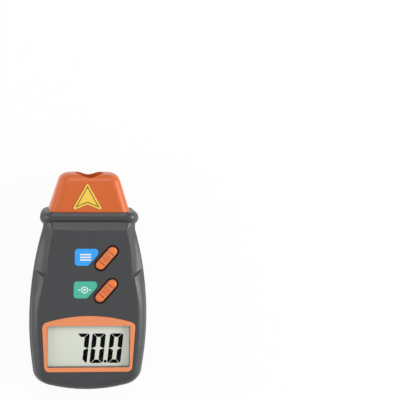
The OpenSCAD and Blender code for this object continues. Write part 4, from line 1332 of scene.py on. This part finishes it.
@dataclass
class Power:
    """The battery with its snap and leads.

    Attributes:
        soft: Width of the softened edges of the jacket and the snap.
        stud_soft: Width of the studs' softened edges.
        rim_t: How far the crimped rims stand out of the jacket.
        rim_len: Length of a rim.
        rim_r: Radius of its corners.
    """

    soft: float = 0.3 * MM
    stud_soft: float = 0.15 * MM
    rim_t: float = 0.12 * MM
    rim_len: float = 1.4 * MM
    rim_r: float = 2.1 * MM

    def build(self) -> None:
        """Builds the battery's pieces."""
        Skin("battery", JACKET, self.soft).build()
        Skin("battery_studs", CAN, self.stud_soft).build()
        Skin("battery_snap", VINYL, self.soft).build()
        dress_all({"battery_leads": SUPPLY_LEADS})
        for end in (0, 1):
            self.rim(end)

    def rim(self, end: int) -> None:
        """Makes the crimped steel rim at one end of the battery.

        Args:
            end: 0 for the lower end, 1 for the terminal end.
        """
        low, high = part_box("battery")
        size = high - low
        middle = (low + high) / 2
        shape = box_sheet(size.x + 2 * self.rim_t, size.z + 2 * self.rim_t)
        round_sheet(shape, self.rim_r)
        thicken(shape, self.rim_len)
        turn(shape, 90.0, "X")
        y = low.y + self.rim_len - self.rim_t if end == 0 else high.y + self.rim_t
        move(shape, (middle.x, y, middle.z))
        name = "battery_rim_lower" if end == 0 else "battery_rim_upper"
        place_piece(name, shape, CAN, "battery")


@dataclass
class Back:
    """The case screws and the blank rating plate on the back.

    Attributes:
        inset: Distance of the plate's printed border from its edge.
        line: Width of the border.
        corner: Radius of the plate's corners.
        ink: Thickness of the border.
        screw_soft: Width of the screws' softened edges.
        plate_soft: Width of the plate's softened edges.
    """

    inset: float = 1.0 * MM
    line: float = 0.3 * MM
    corner: float = 2.0 * MM
    ink: float = 0.02 * MM
    screw_soft: float = 0.12 * MM
    plate_soft: float = 0.05 * MM

    def build(self) -> None:
        """Builds the back's pieces."""
        Skin("case_screws", STEEL, self.screw_soft, edge_deg=60.0).build()
        Skin("rear_label", GREY_FILM, self.plate_soft).build()
        low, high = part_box("rear_label")
        size = high - low
        middle = (low + high) / 2
        shape = box_sheet(size.x, size.y)
        round_sheet(shape, self.corner)
        keep_line(shape, self.inset, self.line)
        thicken(shape, self.ink)
        move(shape, (middle.x, middle.y, low.z - self.ink))
        place_piece("rear_label_border", shape, INK_DARK, "rear_label")


# Studio


@dataclass
class Lamp:
    """Soft square lamp that faces the meter.

    Attributes:
        name: Its name.
        place: Where it stands.
        side: Length of its side.
        power: Its power in watts.
    """

    name: str
    place: Place
    side: float
    power: float

    def build(self, aim: Vector) -> None:
        """Makes the lamp.

        Args:
            aim: The point that it faces.
        """
        light = bpy.data.lights.new(self.name, "AREA")
        light.shape = "SQUARE"
        light.size = self.side
        light.energy = self.power
        lamp = bpy.data.objects.new(self.name, light)
        lamp.location = self.place
        lamp.rotation_euler = (aim - Vector(self.place)).to_track_quat("-Z", "Y").to_euler()
        lamp.visible_camera = False
        bpy.context.scene.collection.objects.link(lamp)


@dataclass
class Studio:
    """Camera, lamps and pale floor.

    Attributes:
        toward_camera: Direction from the meter to the camera.
        distance: Distance of the camera from the meter.
        subject: Point of the meter that the distance is measured from.
        aim: Point at the middle of the picture.
        frame_w: Width of the view at the aim.
        roll_deg: How far the meter leans to the right in the picture.
        ambient: Light of the world on the meter.
        floor_side: Side of the floor.
        floor_gap: Gap between the back face and the floor, so that they don't coincide.
        lamps: The lamps.
    """

    toward_camera: Place = (-0.0732, 0.1908, 0.979)
    distance: float = 1.2
    subject: Place = (0.0, 0.0, 13.0 * MM)
    aim: Place = (66.8 * MM, 49.2 * MM, 13.0 * MM)
    frame_w: float = 239.9 * MM
    roll_deg: float = 1.27
    ambient: float = 0.37
    floor_side: float = 6.0
    floor_gap: float = 0.1 * MM
    lamps: tuple[Lamp, ...] = (
        Lamp("lamp_over_nose", (-0.05, 0.55, 0.7), 0.5, 2.2),
        Lamp("lamp_left", (-0.75, 0.0, 0.28), 0.45, 2.5),
        Lamp("lamp_right", (0.75, 0.05, 0.28), 0.45, 5.1),
    )

    def build(self) -> None:
        """Builds the studio."""
        scene = bpy.context.scene
        scene.view_settings.view_transform = "Standard"
        self.camera()
        for lamp in self.lamps:
            lamp.build(Vector(self.subject))
        self.world()
        self.floor()

    def camera(self) -> None:
        """Makes the camera, at the photograph's angle."""
        view = Vector(self.toward_camera).normalized()
        place = Vector(self.subject) + self.distance * view
        look = Vector(self.aim) - place
        data = bpy.data.cameras.new("photo_camera")
        data.sensor_fit = "HORIZONTAL"
        data.angle = 2 * math.atan(self.frame_w / 2 / look.length)
        camera = bpy.data.objects.new("photo_camera", data)
        ahead = look.normalized()
        right = ahead.cross(Vector((0.0, 1.0, 0.0))).normalized()
        up = right.cross(ahead)
        facing = Matrix((right, up, -ahead)).transposed().to_4x4()
        roll = Matrix.Rotation(math.radians(self.roll_deg), 4, "Z")
        camera.matrix_world = Matrix.Translation(place) @ facing @ roll
        bpy.context.scene.collection.objects.link(camera)
        bpy.context.scene.camera = camera

    def world(self) -> None:
        """Makes the pale world, white where it is seen and softer where it lights."""
        world = bpy.data.worlds.new("studio_world")
        world.use_nodes = True
        world.node_tree.nodes.clear()
        board = NodeBoard(world.node_tree)
        strength = board.spread(seen_or_mirrored(board), UNIT, (self.ambient, 1.0))
        sky = board.add("Background", {"Color": linear("ffffff"), "Strength": strength})
        board.add("OutputWorld", {"Surface": sky.outputs[0]})
        bpy.context.scene.world = world

    def floor(self) -> None:
        """Makes the floor."""
        shape = bmesh.new()
        bmesh.ops.create_grid(shape, x_segments=2, y_segments=2, size=self.floor_side / 2)
        mesh = bpy.data.meshes.new("studio_floor")
        shape.to_mesh(mesh)
        shape.free()
        mesh.transform(Matrix.Translation((0.0, 0.0, -self.floor_gap)))
        floor = bpy.data.objects.new("studio_floor", mesh)
        bpy.context.scene.collection.objects.link(floor)
        mesh.materials.append(PAPER.material())


def main() -> None:
    """Builds the meter's looks and the studio."""
    logging.basicConfig(level=logging.INFO, format="%(message)s")
    for part in (Casing(), Display(), Keys(), BeamArrow(), Board(), Optics(), Power(), Back()):
        part.build()
    Studio().build()


if __name__ == "__main__":
    main()
